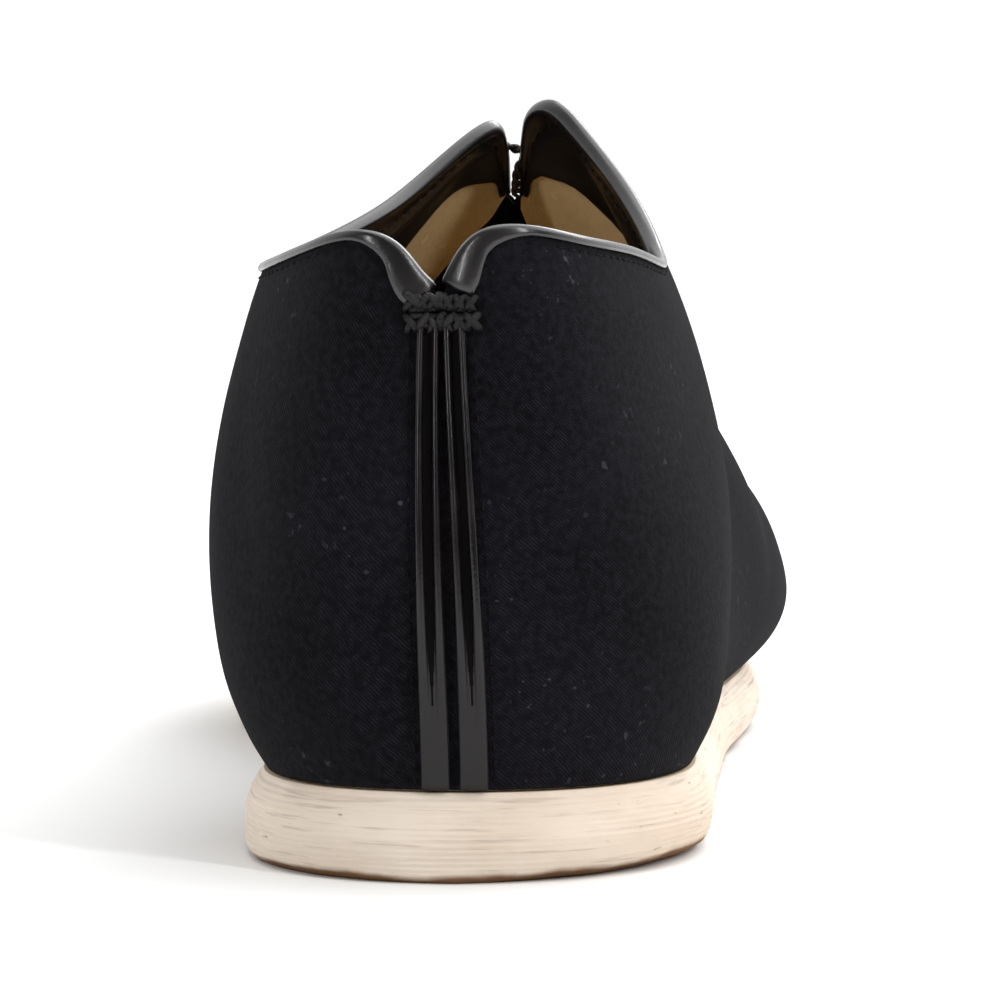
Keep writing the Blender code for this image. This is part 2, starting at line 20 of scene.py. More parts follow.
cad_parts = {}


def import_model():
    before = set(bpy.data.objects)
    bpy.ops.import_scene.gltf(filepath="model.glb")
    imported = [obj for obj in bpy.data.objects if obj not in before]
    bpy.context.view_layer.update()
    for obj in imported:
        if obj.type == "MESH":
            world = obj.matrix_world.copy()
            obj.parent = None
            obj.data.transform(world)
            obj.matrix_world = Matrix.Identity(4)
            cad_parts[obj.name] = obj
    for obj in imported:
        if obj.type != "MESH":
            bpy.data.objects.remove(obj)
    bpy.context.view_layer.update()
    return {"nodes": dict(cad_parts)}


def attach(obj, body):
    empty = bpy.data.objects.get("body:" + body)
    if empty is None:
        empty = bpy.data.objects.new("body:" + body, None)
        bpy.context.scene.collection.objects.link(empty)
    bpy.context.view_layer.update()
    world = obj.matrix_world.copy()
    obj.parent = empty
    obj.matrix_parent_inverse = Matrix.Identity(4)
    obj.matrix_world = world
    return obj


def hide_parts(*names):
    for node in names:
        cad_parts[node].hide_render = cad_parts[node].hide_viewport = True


LOG = logging.getLogger("cloth_shoe")
# From an edge to the row of stitches beside it, in metres.
SEWN_OFF = 0.0009


class Side(Enum):
    """The little-toe side and the big-toe side of the shoe."""

    LATERAL = 1
    MEDIAL = -1

    @property
    def label(self) -> str:
        """The side's name as the nodes have it."""
        return self.name.lower()


class Level(Enum):
    """A height of the last that the sections of the wall refer to."""

    NOTCH = "foot of the back notch"
    BACK = "humps behind"
    SIDE = "dip at the sides"
    PEAK = "peaks in front"
    SLIT = "half-way down the slit"
    THROAT = "foot of the slit"
    BALL = "vamp over the ball of the foot"
    TOE = "toe"


class OutlineRow(NamedTuple):
    """The sole's full width at a share of its length, and the share of it on the lateral side."""

    along: float
    width: float
    lateral: float


class WearRow(NamedTuple):
    """How far the sole's lower edge is worn back, in shares of its bulge."""

    share: float
    lateral: float
    medial: float


class SectionRow(NamedTuple):
    """One section of the wall, from the sole's edge to the top edge or the vamp's middle."""

    foot: float
    along: float
    across: float
    level: Level
    height: float
    swell: float
    lift: float
    crown: float
    sink: float


LATERAL_SECTIONS = (
    SectionRow(0.000, 0.025, 0.000, Level.NOTCH, 1.000, 0.60, 0.26, 0.35, 0.36),
    SectionRow(0.016, 0.024, 0.060, Level.BACK, 0.945, 0.62, 0.26, 0.37, 0.36),
    SectionRow(0.036, 0.023, 0.153, Level.BACK, 0.987, 0.66, 0.25, 0.40, 0.36),
    SectionRow(0.068, 0.026, 0.350, Level.BACK, 1.005, 0.72, 0.24, 0.50, 0.36),
    SectionRow(0.118, 0.054, 0.615, Level.BACK, 0.988, 0.82, 0.22, 0.72, 0.37),
    SectionRow(0.180, 0.125, 0.835, Level.SIDE, 1.030, 0.92, 0.20, 1.02, 0.37),
    SectionRow(0.240, 0.200, 0.905, Level.SIDE, 1.003, 0.92, 0.20, 1.18, 0.37),
    SectionRow(0.295, 0.268, 0.825, Level.SIDE, 1.028, 0.88, 0.20, 1.35, 0.34),
    SectionRow(0.340, 0.332, 0.605, Level.PEAK, 0.894, 0.88, 0.210, 1.55, 0.27),
    SectionRow(0.372, 0.375, 0.345, Level.PEAK, 0.976, 0.95, 0.225, 1.75, 0.19),
    SectionRow(0.392, 0.396, 0.195, Level.PEAK, 1.008, 1.02, 0.235, 1.90, 0.15),
    SectionRow(0.408, 0.414, 0.087, Level.PEAK, 0.990, 1.10, 0.243, 2.02, 0.12),
    SectionRow(0.424, 0.430, 0.072, Level.SLIT, 1.007, 1.19, 0.250, 2.13, 0.11),
    SectionRow(0.438, 0.449, 0.066, Level.THROAT, 1.032, 1.27, 0.256, 2.23, 0.105),
    SectionRow(0.452, 0.461, 0.056, Level.THROAT, 1.000, 1.36, 0.262, 2.36, 0.105),
    SectionRow(0.530, 0.538, 0.040, Level.BALL, 1.235, 1.92, 0.29, 3.10, 0.13),
    SectionRow(0.605, 0.625, 0.020, Level.BALL, 1.010, 2.25, 0.31, 3.45, 0.15),
    SectionRow(0.680, 0.715, 0.006, Level.BALL, 0.850, 2.15, 0.35, 3.40, 0.12),
    SectionRow(0.765, 0.800, 0.000, Level.TOE, 1.155, 1.60, 0.43, 2.80, 0.08),
    SectionRow(0.850, 0.860, 0.000, Level.TOE, 1.080, 1.10, 0.50, 2.20, 0.05),
    SectionRow(0.930, 0.895, 0.000, Level.TOE, 1.030, 0.75, 0.58, 1.60, 0.02),
    SectionRow(1.000, 0.907, 0.000, Level.TOE, 1.000, 0.65, 0.60, 1.40, 0.03),
)
MEDIAL_SECTIONS = (
    SectionRow(0.000, 0.025, 0.000, Level.NOTCH, 1.000, 0.60, 0.26, 0.35, 0.36),
    SectionRow(0.016, 0.024, 0.100, Level.BACK, 0.931, 0.64, 0.26, 0.37, 0.36),
    SectionRow(0.036, 0.025, 0.193, Level.BACK, 0.969, 0.70, 0.25, 0.42, 0.36),
    SectionRow(0.068, 0.029, 0.367, Level.BACK, 0.996, 0.80, 0.24, 0.55, 0.36),
    SectionRow(0.118, 0.064, 0.655, Level.BACK, 0.974, 0.96, 0.22, 0.80, 0.38),
    SectionRow(0.180, 0.143, 0.940, Level.SIDE, 1.003, 1.24, 0.20, 1.04, 0.40),
    SectionRow(0.245, 0.207, 1.030, Level.SIDE, 1.000, 1.36, 0.20, 1.14, 0.40),
    SectionRow(0.305, 0.271, 0.970, Level.SIDE, 1.020, 1.38, 0.20, 1.25, 0.37),
    SectionRow(0.350, 0.332, 0.635, Level.PEAK, 0.858, 1.42, 0.210, 1.50, 0.30),
    SectionRow(0.380, 0.371, 0.390, Level.PEAK, 0.919, 1.42, 0.225, 1.78, 0.22),
    SectionRow(0.398, 0.396, 0.183, Level.PEAK, 0.968, 1.43, 0.235, 1.93, 0.16),
    SectionRow(0.412, 0.413, 0.090, Level.PEAK, 0.974, 1.45, 0.243, 2.04, 0.13),
    SectionRow(0.426, 0.430, 0.072, Level.SLIT, 1.007, 1.47, 0.250, 2.15, 0.115),
    SectionRow(0.440, 0.449, 0.066, Level.THROAT, 1.032, 1.49, 0.256, 2.25, 0.105),
    SectionRow(0.452, 0.461, 0.056, Level.THROAT, 1.000, 1.52, 0.262, 2.36, 0.105),
    SectionRow(0.530, 0.538, 0.040, Level.BALL, 1.235, 1.75, 0.29, 3.10, 0.12),
    SectionRow(0.605, 0.625, 0.020, Level.BALL, 1.010, 1.90, 0.31, 3.45, 0.13),
    SectionRow(0.680, 0.715, 0.006, Level.BALL, 0.850, 1.80, 0.35, 3.35, 0.10),
    SectionRow(0.765, 0.800, 0.000, Level.TOE, 1.155, 1.45, 0.43, 2.75, 0.07),
    SectionRow(0.850, 0.860, 0.000, Level.TOE, 1.080, 1.00, 0.50, 2.15, 0.05),
    SectionRow(0.930, 0.895, 0.000, Level.TOE, 1.030, 0.72, 0.58, 1.60, 0.02),
    SectionRow(1.000, 0.907, 0.000, Level.TOE, 1.000, 0.65, 0.60, 1.40, 0.03),
)
SECTIONS = {Side.LATERAL: LATERAL_SECTIONS, Side.MEDIAL: MEDIAL_SECTIONS}
THROAT_ROW = 14
LAST_ROW = len(LATERAL_SECTIONS) - 1

EDGE_WEAR = (
    WearRow(0.00, -0.40, -0.40),
    WearRow(0.05, 0.80, 0.10),
    WearRow(0.09, 1.10, 0.10),
    WearRow(0.13, 1.30, -0.30),
    WearRow(0.18, 0.40, -0.40),
    WearRow(0.45, 0.00, 0.00),
    WearRow(0.62, 0.40, 0.20),
    WearRow(1.00, 0.20, 0.20),
)


def spline(knots: Sequence[float], values: Sequence[float], at: np.ndarray) -> np.ndarray:
    """Natural cubic curve through values at knots.

    Args:
        knots: increasing places.
        values: the value at each place.
        at: where to read the curve.

    Returns:
        The curve's values there.
    """
    knots = np.asarray(knots, float)
    values = np.asarray(values, float)
    steps = np.diff(knots)
    count = len(knots)
    matrix = np.eye(count)
    right = np.zeros(count)
    for i in range(1, count - 1):
        matrix[i, i - 1 : i + 2] = steps[i - 1], 2 * (steps[i - 1] + steps[i]), steps[i]
        rise = (values[i + 1] - values[i]) / steps[i] - (values[i] - values[i - 1]) / steps[i - 1]
        right[i] = 6 * rise
    bends = np.linalg.solve(matrix, right)
    at = np.asarray(at, float)
    i = np.clip(np.searchsorted(knots, at) - 1, 0, count - 2)
    step = steps[i]
    a = (knots[i + 1] - at) / step
    b = (at - knots[i]) / step
    curve = a * values[i] + b * values[i + 1]
    return curve + ((a**3 - a) * bends[i] + (b**3 - b) * bends[i + 1]) * step**2 / 6


def unit(vectors: np.ndarray) -> np.ndarray:
    """The same vectors with length 1."""
    vectors = np.asarray(vectors, float)
    return vectors / np.maximum(np.linalg.norm(vectors, axis=-1, keepdims=True), 1e-12)


def smooth_step(values: np.ndarray, start: float, end: float) -> np.ndarray:
    """0 before start, 1 after end, and a soft rise between them."""
    share = np.clip((np.asarray(values, float) - start) / (end - start), 0, 1)
    return share * share * (3 - 2 * share)


def walk(points: np.ndarray) -> np.ndarray:
    """The distance walked to each point of a line."""
    return np.cumsum(np.linalg.norm(np.diff(points, axis=0, prepend=points[:1]), axis=1))


def read_line(at: np.ndarray | float, walked: np.ndarray, points: np.ndarray) -> np.ndarray:
    """Points at the distance or distances asked for, on a line that is known at walked ones."""
    return np.stack([np.interp(at, walked, column) for column in points.T], axis=-1)


def read_rows(
    at: np.ndarray | float, rows: Sequence[NamedTuple], key: str, value: str
) -> np.ndarray:
    """Reads one column of a table of rows by another, straight from row to row.

    Args:
        at: where to read it.
        rows: the table, in rising order of the key.
        key: the name of the column that says where.
        value: the name of the column to read.

    Returns:
        The value or values there.
    """
    return np.interp(at, [getattr(r, key) for r in rows], [getattr(r, value) for r in rows])


def soft_noise(points: np.ndarray, wave: float, seed: float = 0.0) -> np.ndarray:
    """Smooth noise with soft hills.

    Args:
        points: where to read it, in metres.
        wave: about how far apart the hills are.
        seed: moves the pattern.

    Returns:
        A value from -1 to 1 for each point.
    """
    flat = np.asarray(points, float).reshape(-1, 3) / wave + seed
    values = [noise.noise(Vector(p)) for p in flat]
    return np.array(values).reshape(np.shape(points)[:-1])


@dataclass(frozen=True)
class Last:
    """The form that the shoe is sewn on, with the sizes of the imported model."""

    sole_length: float = 0.280
    heel_width: float = 0.0680
    waist_width: float = 0.0655
    ball_width: float = 0.0920
    toe_width: float = 0.0860
    heel_thickness: float = 0.0125
    forepart_thickness: float = 0.0108
    toe_spring: float = 0.0070
    edge_bulge: float = 0.0028
    heel_centre: float = 0.0350
    wall: float = 0.0024
    pared: float = 0.0012
    binding: float = 0.00067
    feather_inset: float = 0.0004
    collar_width: float = 0.0600
    back_height: float = 0.0908
    notch_depth: float = 0.0096
    side_height: float = 0.0850
    peak_height: float = 0.1080
    throat_height: float = 0.0927
    ball_height: float = 0.0660
    toe_height: float = 0.0440
    slit_across: float = 0.0030
    seam_across: float = -0.0040
    handle: float = 0.0100
    strip: float = 0.0009
    gap: float = 0.0003

    def level(self, level: Level) -> float:
        """The height of a level above the floor.

        Args:
            level: the level.

        Returns:
            The height in metres.
        """
        heights = {
            Level.NOTCH: self.back_height - self.notch_depth,
            Level.BACK: self.back_height,
            Level.SIDE: self.side_height,
            Level.PEAK: self.peak_height,
            Level.SLIT: 0.5 * (self.peak_height + self.throat_height),
            Level.THROAT: self.throat_height,
            Level.BALL: self.ball_height,
            Level.TOE: self.toe_height,
        }
        return heights[level]

    def outline(self) -> tuple[OutlineRow, ...]:
        """The sole's widths.

        Returns:
            A row for each place, from heel to toe.
        """
        return (
            OutlineRow(0.000, 1.000 * self.heel_width, 0.470),
            OutlineRow(0.130, 1.000 * self.heel_width, 0.504),
            OutlineRow(0.230, 0.985 * self.heel_width, 0.517),
            OutlineRow(0.380, 1.000 * self.waist_width, 0.555),
            OutlineRow(0.500, 0.790 * self.ball_width, 0.527),
            OutlineRow(0.630, 0.957 * self.ball_width, 0.488),
            OutlineRow(0.725, 1.000 * self.ball_width, 0.478),
            OutlineRow(0.860, 1.000 * self.toe_width, 0.462),
            OutlineRow(1.000, 0.850 * self.toe_width, 0.450),
        )

    def axis_across(self, along: np.ndarray) -> np.ndarray:
        """How far the sole's middle lies to the lateral side.

        Args:
            along: shares of the sole's length.

        Returns:
            The distance at each, in metres.
        """
        rows = self.outline()
        offsets = [(row.lateral - 0.5) * row.width for row in rows]
        return spline([row.along for row in rows], offsets, along)

    def middle_across(self, along: np.ndarray) -> np.ndarray:
        """How far the line of back seam, slit and vamp seam lies to the lateral side.

        Args:
            along: shares of the sole's length.

        Returns:
            The distance at each, in metres.
        """
        toe = float(self.axis_across(0.95))
        places = (0.02, 0.12, 0.25, 0.42, 0.50, 0.66, 0.95)
        seam, slit = self.seam_across, self.slit_across
        across = (seam, 0.78 * seam, 0.12 * slit, slit, 0.75 * slit, 0.10 * toe, toe)
        return spline(places, across, along)

    def half_outline(
        self, side: Side, shares: np.ndarray, inset: np.ndarray | float
    ) -> tuple[np.ndarray, np.ndarray]:
        """Points on one side of the sole.

        Args:
            side: which side.
            shares: places along the half outline, from the heel's middle to the toe's.
            inset: how far inwards from the outline, in metres.

        Returns:
            The points and the outward directions, in plan.
        """
        sign = side.value
        along = 0.5 - 0.5 * np.cos(np.linspace(0, np.pi, 2001))
        rows = self.outline()
        width = spline([row.along for row in rows], [row.width for row in rows], along)
        heel = np.clip(1 - along / 0.140, 0, 1)
        toe = np.clip(1 - (1 - along) / 0.270, 0, 1)
        round_end = np.maximum(1 - heel**2.25 - toe**2.25, 0) ** (1 / 2.25)
        across = self.axis_across(along) + sign * 0.5 * width * round_end
        points = np.stack([across, along * self.sole_length - self.heel_centre], axis=1)
        steps = unit(np.gradient(points, axis=0))
        steps[0] = sign, 0
        steps[-1] = -sign, 0
        outward = sign * np.stack([steps[:, 1], -steps[:, 0]], axis=1)
        walked = walk(points)
        at = np.asarray(shares) * walked[-1]
        place = read_line(at, walked, points)
        facing = unit(read_line(at, walked, outward))
        return place - np.reshape(inset, (-1, 1)) * facing, facing

    def sole_bottom(self, y: np.ndarray) -> np.ndarray:
        """Height of the sole's underside: flat to the ball, then rising to the toe."""
        share = (y + self.heel_centre) / self.sole_length
        return self.toe_spring * np.clip((share - 0.70) / 0.30, 0, 1.2) ** 2

    def sole_top(self, y: np.ndarray) -> np.ndarray:
        """Height of the sole's upper face.

        Args:
            y: places along the shoe, in metres.

        Returns:
            The height at each.
        """
        share = (y + self.heel_centre) / self.sole_length
        drop = (self.forepart_thickness - self.heel_thickness) * smooth_step(share, 0.25, 0.60)
        return self.sole_bottom(y) + self.heel_thickness + drop

    def wall_points(self, side: Side, stations: np.ndarray, shares: np.ndarray) -> np.ndarray:
        """Points on the outer face of one half.

        Args:
            side: which half.
            stations: places among the section rows, 0 at the back seam.
            shares: places up each section, 0 at the sole.

        Returns:
            An array of stations by shares by 3.
        """
        rows = SECTIONS[side]
        sign = side.value
        feet = [row.foot for row in rows]
        foot_share = np.interp(stations, range(len(rows)), feet)
        table = {}
        for name in ("along", "across", "swell", "lift", "crown", "sink"):
            table[name] = spline(feet, [getattr(row, name) for row in rows], foot_share)
        bound = [0] + [self.binding] * (THROAT_ROW - 1) + [0] * (len(rows) - THROAT_ROW)
        heights = [self.level(row.level) * row.height - low for row, low in zip(rows, bound)]
        height = spline(feet, heights, foot_share)
        flat, facing = self.half_outline(side, foot_share, self.edge_bulge + self.feather_inset)
        foot = np.column_stack([flat, self.sole_top(flat[:, 1]) + self.gap])
        across = table["across"] * 0.5 * self.collar_width
        edge = across * smooth_step(THROAT_ROW - stations, 0, 1)
        x = self.middle_across(table["along"]) + sign * edge
        top = np.column_stack([x, table["along"] * self.sole_length - self.heel_centre, height])
        rise = (top - foot)[:, 2]
        out = np.column_stack([facing, np.zeros(len(facing))])
        sideways = np.array([sign, 0, 0.0])
        turn = np.clip((stations - THROAT_ROW) / (LAST_ROW - THROAT_ROW), 0, 1)[:, None] ** 3
        start = smooth_step(stations, THROAT_ROW - 6, THROAT_ROW)[:, None]
        front = sideways * (1 - turn) + out * turn
        back = sideways * start + out * (1 - start)
        spread = unit(np.where(turn > 0, front, back))
        up = np.array([0, 0, 1.0])
        low = foot + out * (table["swell"] * self.handle)[:, None]
        low = low + up * (table["lift"] * rise)[:, None]
        shoulder = top + sideways * (across - edge)[:, None]
        high = shoulder + spread * (table["crown"] * self.handle)[:, None]
        high = high - up * (table["sink"] * rise)[:, None]
        foot, low, high, top = (p[:, None, :] for p in (foot, low, high, top))
        v = np.asarray(shares, float)[None, :, None]
        w = 1 - v
        return w**3 * foot + 3 * w * w * v * low + 3 * w * v * v * high + v**3 * top


class Fold(NamedTuple):
    """A soft fold of the cloth. Ends: share of the half outline, share up the wall."""

    side: Side
    start: tuple[float, float]
    end: tuple[float, float]
    width: float
    height: float


FOLDS = (
    Fold(Side.LATERAL, (0.300, 0.18), (0.352, 0.86), 0.0090, -0.0011),
    Fold(Side.LATERAL, (0.372, 0.30), (0.398, 0.80), 0.0070, 0.0007),
    Fold(Side.LATERAL, (0.130, 0.72), (0.262, 0.80), 0.0065, -0.0004),
    Fold(Side.LATERAL, (0.170, 0.14), (0.300, 0.22), 0.0080, 0.0006),
    Fold(Side.MEDIAL, (0.105, 0.36), (0.150, 0.78), 0.0070, -0.0006),
    Fold(Side.MEDIAL, (0.320, 0.24), (0.366, 0.84), 0.0085, -0.0010),
    Fold(Side.MEDIAL, (0.176, 0.20), (0.270, 0.30), 0.0075, 0.0005),
    Fold(Side.LATERAL, (0.560, 0.34), (0.600, 1.10), 0.0050, -0.0009),
    Fold(Side.MEDIAL, (0.560, 0.42), (0.600, 1.10), 0.0050, -0.0009),
    Fold(Side.LATERAL, (0.600, 0.44), (0.634, 1.10), 0.0050, 0.0007),
    Fold(Side.MEDIAL, (0.604, 0.50), (0.634, 1.10), 0.0050, 0.0007),
    Fold(Side.LATERAL, (0.640, 0.40), (0.668, 1.10), 0.0055, -0.0008),
    Fold(Side.MEDIAL, (0.642, 0.54), (0.668, 1.10), 0.0055, -0.0008),
)


# A place on a face, and the outward direction there.
Spot = tuple[np.ndarray, np.ndarray]


class Skin:
    """The outer face of the upper as a fine grid for each half, folds included."""

    HALF_OUTLINE = 0.330
    WALL_HEIGHT = 0.080
    WAVE_HEIGHT = 0.00022
    WAVE_LENGTH = 0.021
    PARED_FROM_RIM = (0.0012, 0.0060)

    def __init__(
        self, last: Last, folds: Sequence[Fold], columns: int = 112, rows: int = 60
    ) -> None:
        """Works out the face.

        Args:
            last: the form to follow.
            folds: the folds of the cloth.
            columns: grid columns on the quarter, and again on the vamp.
            rows: grid rows from the sole to the top.
        """
        self.last = last
        self.stations = np.concatenate(
            [self._spread(0, THROAT_ROW, columns), self._spread(THROAT_ROW, LAST_ROW, columns)[1:]]
        )
        self.throat = columns - 1
        self.shares = np.linspace(0, 1, rows)
        self.points: dict[Side, np.ndarray] = {}
        self.normals: dict[Side, np.ndarray] = {}
        for side in Side:
            self.points[side] = last.wall_points(side, self.stations, self.shares)
        self._work_out_normals()
        for side in Side:
            rise = self._fold_height(side, folds)
            rise += self.WAVE_HEIGHT * soft_noise(self.points[side], self.WAVE_LENGTH)
            rise *= smooth_step(self.shares, 0.0, 0.10)[None, :]
            ease = 1 - smooth_step(self.shares, 0.86, 1.0)
            rise[: self.throat] *= ease[None, :]
            self.points[side] = self.points[side] + self.normals[side] * rise[..., None]
        self._work_out_normals()
        self.uvs = {side: self._metres(side) for side in Side}
        self.depths = {side: self._depth(side) for side in Side}
        self.outer = self._tree(0.0)
        self.inner = self._tree(1.0)

    def _spread(self, start: int, end: int, count: int) -> np.ndarray:
        """Spreads stations partly by row and partly by distance along the sole's edge.

        Args:
            start: the first station.
            end: the last one.
            count: how many there are.

        Returns:
            The stations.
        """
        fine = np.linspace(start, end, 400)
        feet = np.interp(fine, range(LAST_ROW + 1), [row.foot for row in LATERAL_SECTIONS])
        measure = 0.35 * (fine - start) / (end - start)
        measure += 0.65 * (feet - feet[0]) / (feet[-1] - feet[0])
        return np.interp(np.linspace(0, 1, count), measure, fine)

    def _work_out_normals(self) -> None:
        """Outward directions, the same for both halves where they meet."""
        for side in Side:
            along = np.gradient(self.points[side], axis=0)
            up = np.gradient(self.points[side], axis=1)
            self.normals[side] = unit(side.value * np.cross(along, up))
        lateral, medial = self.normals[Side.LATERAL], self.normals[Side.MEDIAL]
        for part in ((0,), (-1,), (slice(self.throat, None), -1)):
            shared = unit(lateral[part] + medial[part])
            lateral[part] = shared
            medial[part] = shared

    def _fold_height(self, side: Side, folds: Sequence[Fold]) -> np.ndarray:
        """How far the folds lift the cloth.

        Args:
            side: which half.
            folds: the folds of both halves.

        Returns:
            The rise at each point of the half's grid.
        """
        feet = np.interp(self.stations, range(LAST_ROW + 1), [row.foot for row in SECTIONS[side]])
        size = np.array([self.HALF_OUTLINE, self.WALL_HEIGHT])
        u, v = np.meshgrid(feet * size[0], self.shares * size[1], indexing="ij")
        rise = np.zeros_like(u)
        for fold in folds:
            if fold.side is not side:
                continue
            start, end = size * fold.start, size * fold.end
            line = end - start
            share = ((u - start[0]) * line[0] + (v - start[1]) * line[1]) / (line @ line)
            off = ((u - start[0]) * line[1] - (v - start[1]) * line[0]) / np.linalg.norm(line)
            along = smooth_step(share, -0.30, 0.35) * (1 - smooth_step(share, 0.65, 1.30))
            rise += fold.height * along * np.exp(-((off / fold.width) ** 2))
        return rise

    def _metres(self, side: Side) -> np.ndarray:
        """Distances along and up the cloth, for the weave.

        Args:
            side: which half.

        Returns:
            Both distances at each point of the half's grid.
        """
        points = self.points[side]
        middle = points[:, len(self.shares) // 2]
        along = walk(middle)
        up = np.cumsum(
            np.linalg.norm(np.diff(points, axis=1, prepend=points[:, :1]), axis=2), axis=1
        )
        return np.stack([np.broadcast_to(side.value * along[:, None], up.shape), up], axis=2)

    def _depth(self, side: Side) -> np.ndarray:
        """The wall's thickness. It is pared thin where the binding folds over it.

        Args:
            side: which half.

        Returns:
            The thickness at each point of the half's grid.
        """
        up = self.uvs[side][..., 1]
        from_rim = up[:, -1:] - up
        pared = (1 - smooth_step(from_rim, *self.PARED_FROM_RIM)) * self.last.pared
        return self.last.wall - pared * (
            1 - smooth_step(self.stations, THROAT_ROW - 1.2, THROAT_ROW)[:, None]
        )

    def walk_down(self, side: Side, column: int, distance: float, share: float) -> np.ndarray:
        """Finds a place on a column of the grid.

        Args:
            side: which half.
            column: the column.
            distance: how far below the rim, along the cloth.
            share: 0 on the outer face, 1 on the inner one.

        Returns:
            The place.
        """
        up = self.uvs[side][column, :, 1]
        inside = self.normals[side][column] * self.depths[side][column][:, None] * share
        places = self.points[side][column] - inside
        return read_line(up[-1] - distance, up, places)

    def _tree(self, share: float) -> BVHTree:
        """Makes a search tree of both halves.

        Args:
            share: 0 for the outer face, 1 for the inner one.

        Returns:
            The tree.
        """
        places: list[Vector] = []
        faces: list[tuple[int, int, int, int]] = []
        for side in Side:
            grid = self.points[side] - self.normals[side] * (self.depths[side] * share)[..., None]
            first = len(places)
            rows = grid.shape[1]
            places += [Vector(p) for p in grid.reshape(-1, 3)]
            for i in range(grid.shape[0] - 1):
                for k in range(rows - 1):
                    a = first + i * rows + k
                    corners = (a, a + rows, a + rows + 1, a + 1)
                    faces.append(corners if side is Side.LATERAL else corners[::-1])
        return BVHTree.FromPolygons(places, faces)

    def nearest(self, tree: BVHTree, point: np.ndarray) -> Spot:
        """The nearest place on a face, and the outward direction there."""
        place, normal, _, _ = tree.find_nearest(Vector(point))
        return np.array(place), np.array(normal)

    def strike(self, point: np.ndarray, direction: np.ndarray) -> Spot:
        """Finds where a line from outside meets the outer face.

        Args:
            point: a point of the line, near the face.
            direction: the line's direction, inwards.

        Returns:
            The place, and the outward direction there.
        """
        start = np.asarray(point, float) - 0.5 * self.last.collar_width * np.asarray(direction)
        place, normal, _, _ = self.outer.ray_cast(Vector(start), Vector(direction))
        return np.array(place), np.array(normal)


def add_sheet(
    bm: bmesh.types.BMesh,
    points: np.ndarray,
    uvs: np.ndarray | None = None,
    material: int | np.ndarray = 0,
    flip: bool = False,
) -> list[bmesh.types.BMFace]:
    """Adds a grid of quads and moves its vertices to the given points.

    Args:
        bm: the mesh to add to.
        points: rows by columns by 3, in metres.
        uvs: rows by columns by 2, in metres, or None.
        material: index of the faces' material, or one for each face by row and column.
        flip: True turns the faces round.

    Returns:
        The new faces.
    """
    rows, columns = points.shape[0] - 1, points.shape[1] - 1
    layer = bm.loops.layers.uv.verify()
    made = bmesh.ops.create_grid(bm, x_segments=rows, y_segments=columns, size=0.5)["verts"]
    flat = np.array([vert.co[:2] for vert in made])
    low, high = flat.min(0), flat.max(0)
    index = np.rint((flat - low) / (high - low) * (rows, columns)).astype(int)
    place = {}
    for vert, (i, k) in zip(made, index):
        place[vert] = (i, k)
        vert.co = points[i, k]
    faces = list(dict.fromkeys(face for vert in made for face in vert.link_faces))
    kinds = np.broadcast_to(material, (rows, columns))
    for face in faces:
        row, column = np.min([place[vert] for vert in face.verts], axis=0)
        face.material_index = int(kinds[row, column])
        face.smooth = True
        if uvs is not None:
            for loop in face.loops:
                loop[layer].uv = uvs[place[loop.vert]]
    if flip:
        bmesh.ops.reverse_faces(bm, faces=faces)
    return faces


def add_loft(
    bm: bmesh.types.BMesh,
    rings: np.ndarray,
    along: np.ndarray,
    girth: float,
    material: int | np.ndarray = 0,
) -> None:
    """Adds a closed solid through rings of points.

    Args:
        bm: the mesh to add to.
        rings: rings by points by 3. Each ring closes on itself.
        along: the distance walked to each ring, for the UV map.
        girth: the distance round a ring, for the UV map.
        material: index of the faces' material, or one for each face by ring and point.
    """
    closed = np.concatenate([rings, rings[:, :1]], axis=1)
    around = np.linspace(0, girth, closed.shape[1])
    uvs = np.stack(np.meshgrid(along, around, indexing="ij"), axis=2)
    faces = add_sheet(bm, closed, uvs, material)
    verts = list(dict.fromkeys(vert for face in faces for vert in face.verts))
    bmesh.ops.remove_doubles(bm, verts=verts, dist=1e-7)
    faces = [face for face in faces if face.is_valid]
    rim = dict.fromkeys(edge for face in faces for edge in face.edges if edge.is_boundary)
    caps = bmesh.ops.holes_fill(bm, edges=list(rim), sides=0)["faces"]
    bmesh.ops.recalc_face_normals(bm, faces=faces + caps)


def add_strand(
    bm: bmesh.types.BMesh, path: np.ndarray, radius: np.ndarray | float, sides: int = 8
) -> None:
    """Adds a round thread or cord along a path.

    Args:
        bm: the mesh to add to.
        path: the points of its middle line.
        radius: one radius, or one at each point.
        sides: points round it.
    """
    path = np.asarray(path, float)
    ahead = unit(np.gradient(path, axis=0))
    radius = np.broadcast_to(radius, len(path))
    beside = np.zeros_like(path)
    last = unit(np.cross(ahead[0], (0.3, 0.1, 0.9)))
    for i, direction in enumerate(ahead):
        last = unit(last - direction * (last @ direction))
        beside[i] = last
    over = np.cross(ahead, beside)
    turns = np.linspace(0, 2 * np.pi, sides, endpoint=False)[None, :, None]
    rings = beside[:, None] * np.cos(turns) + over[:, None] * np.sin(turns)
    rings = path[:, None] + rings * radius[:, None, None]
    add_loft(bm, rings, walk(path), 2 * np.pi * float(radius.max()))


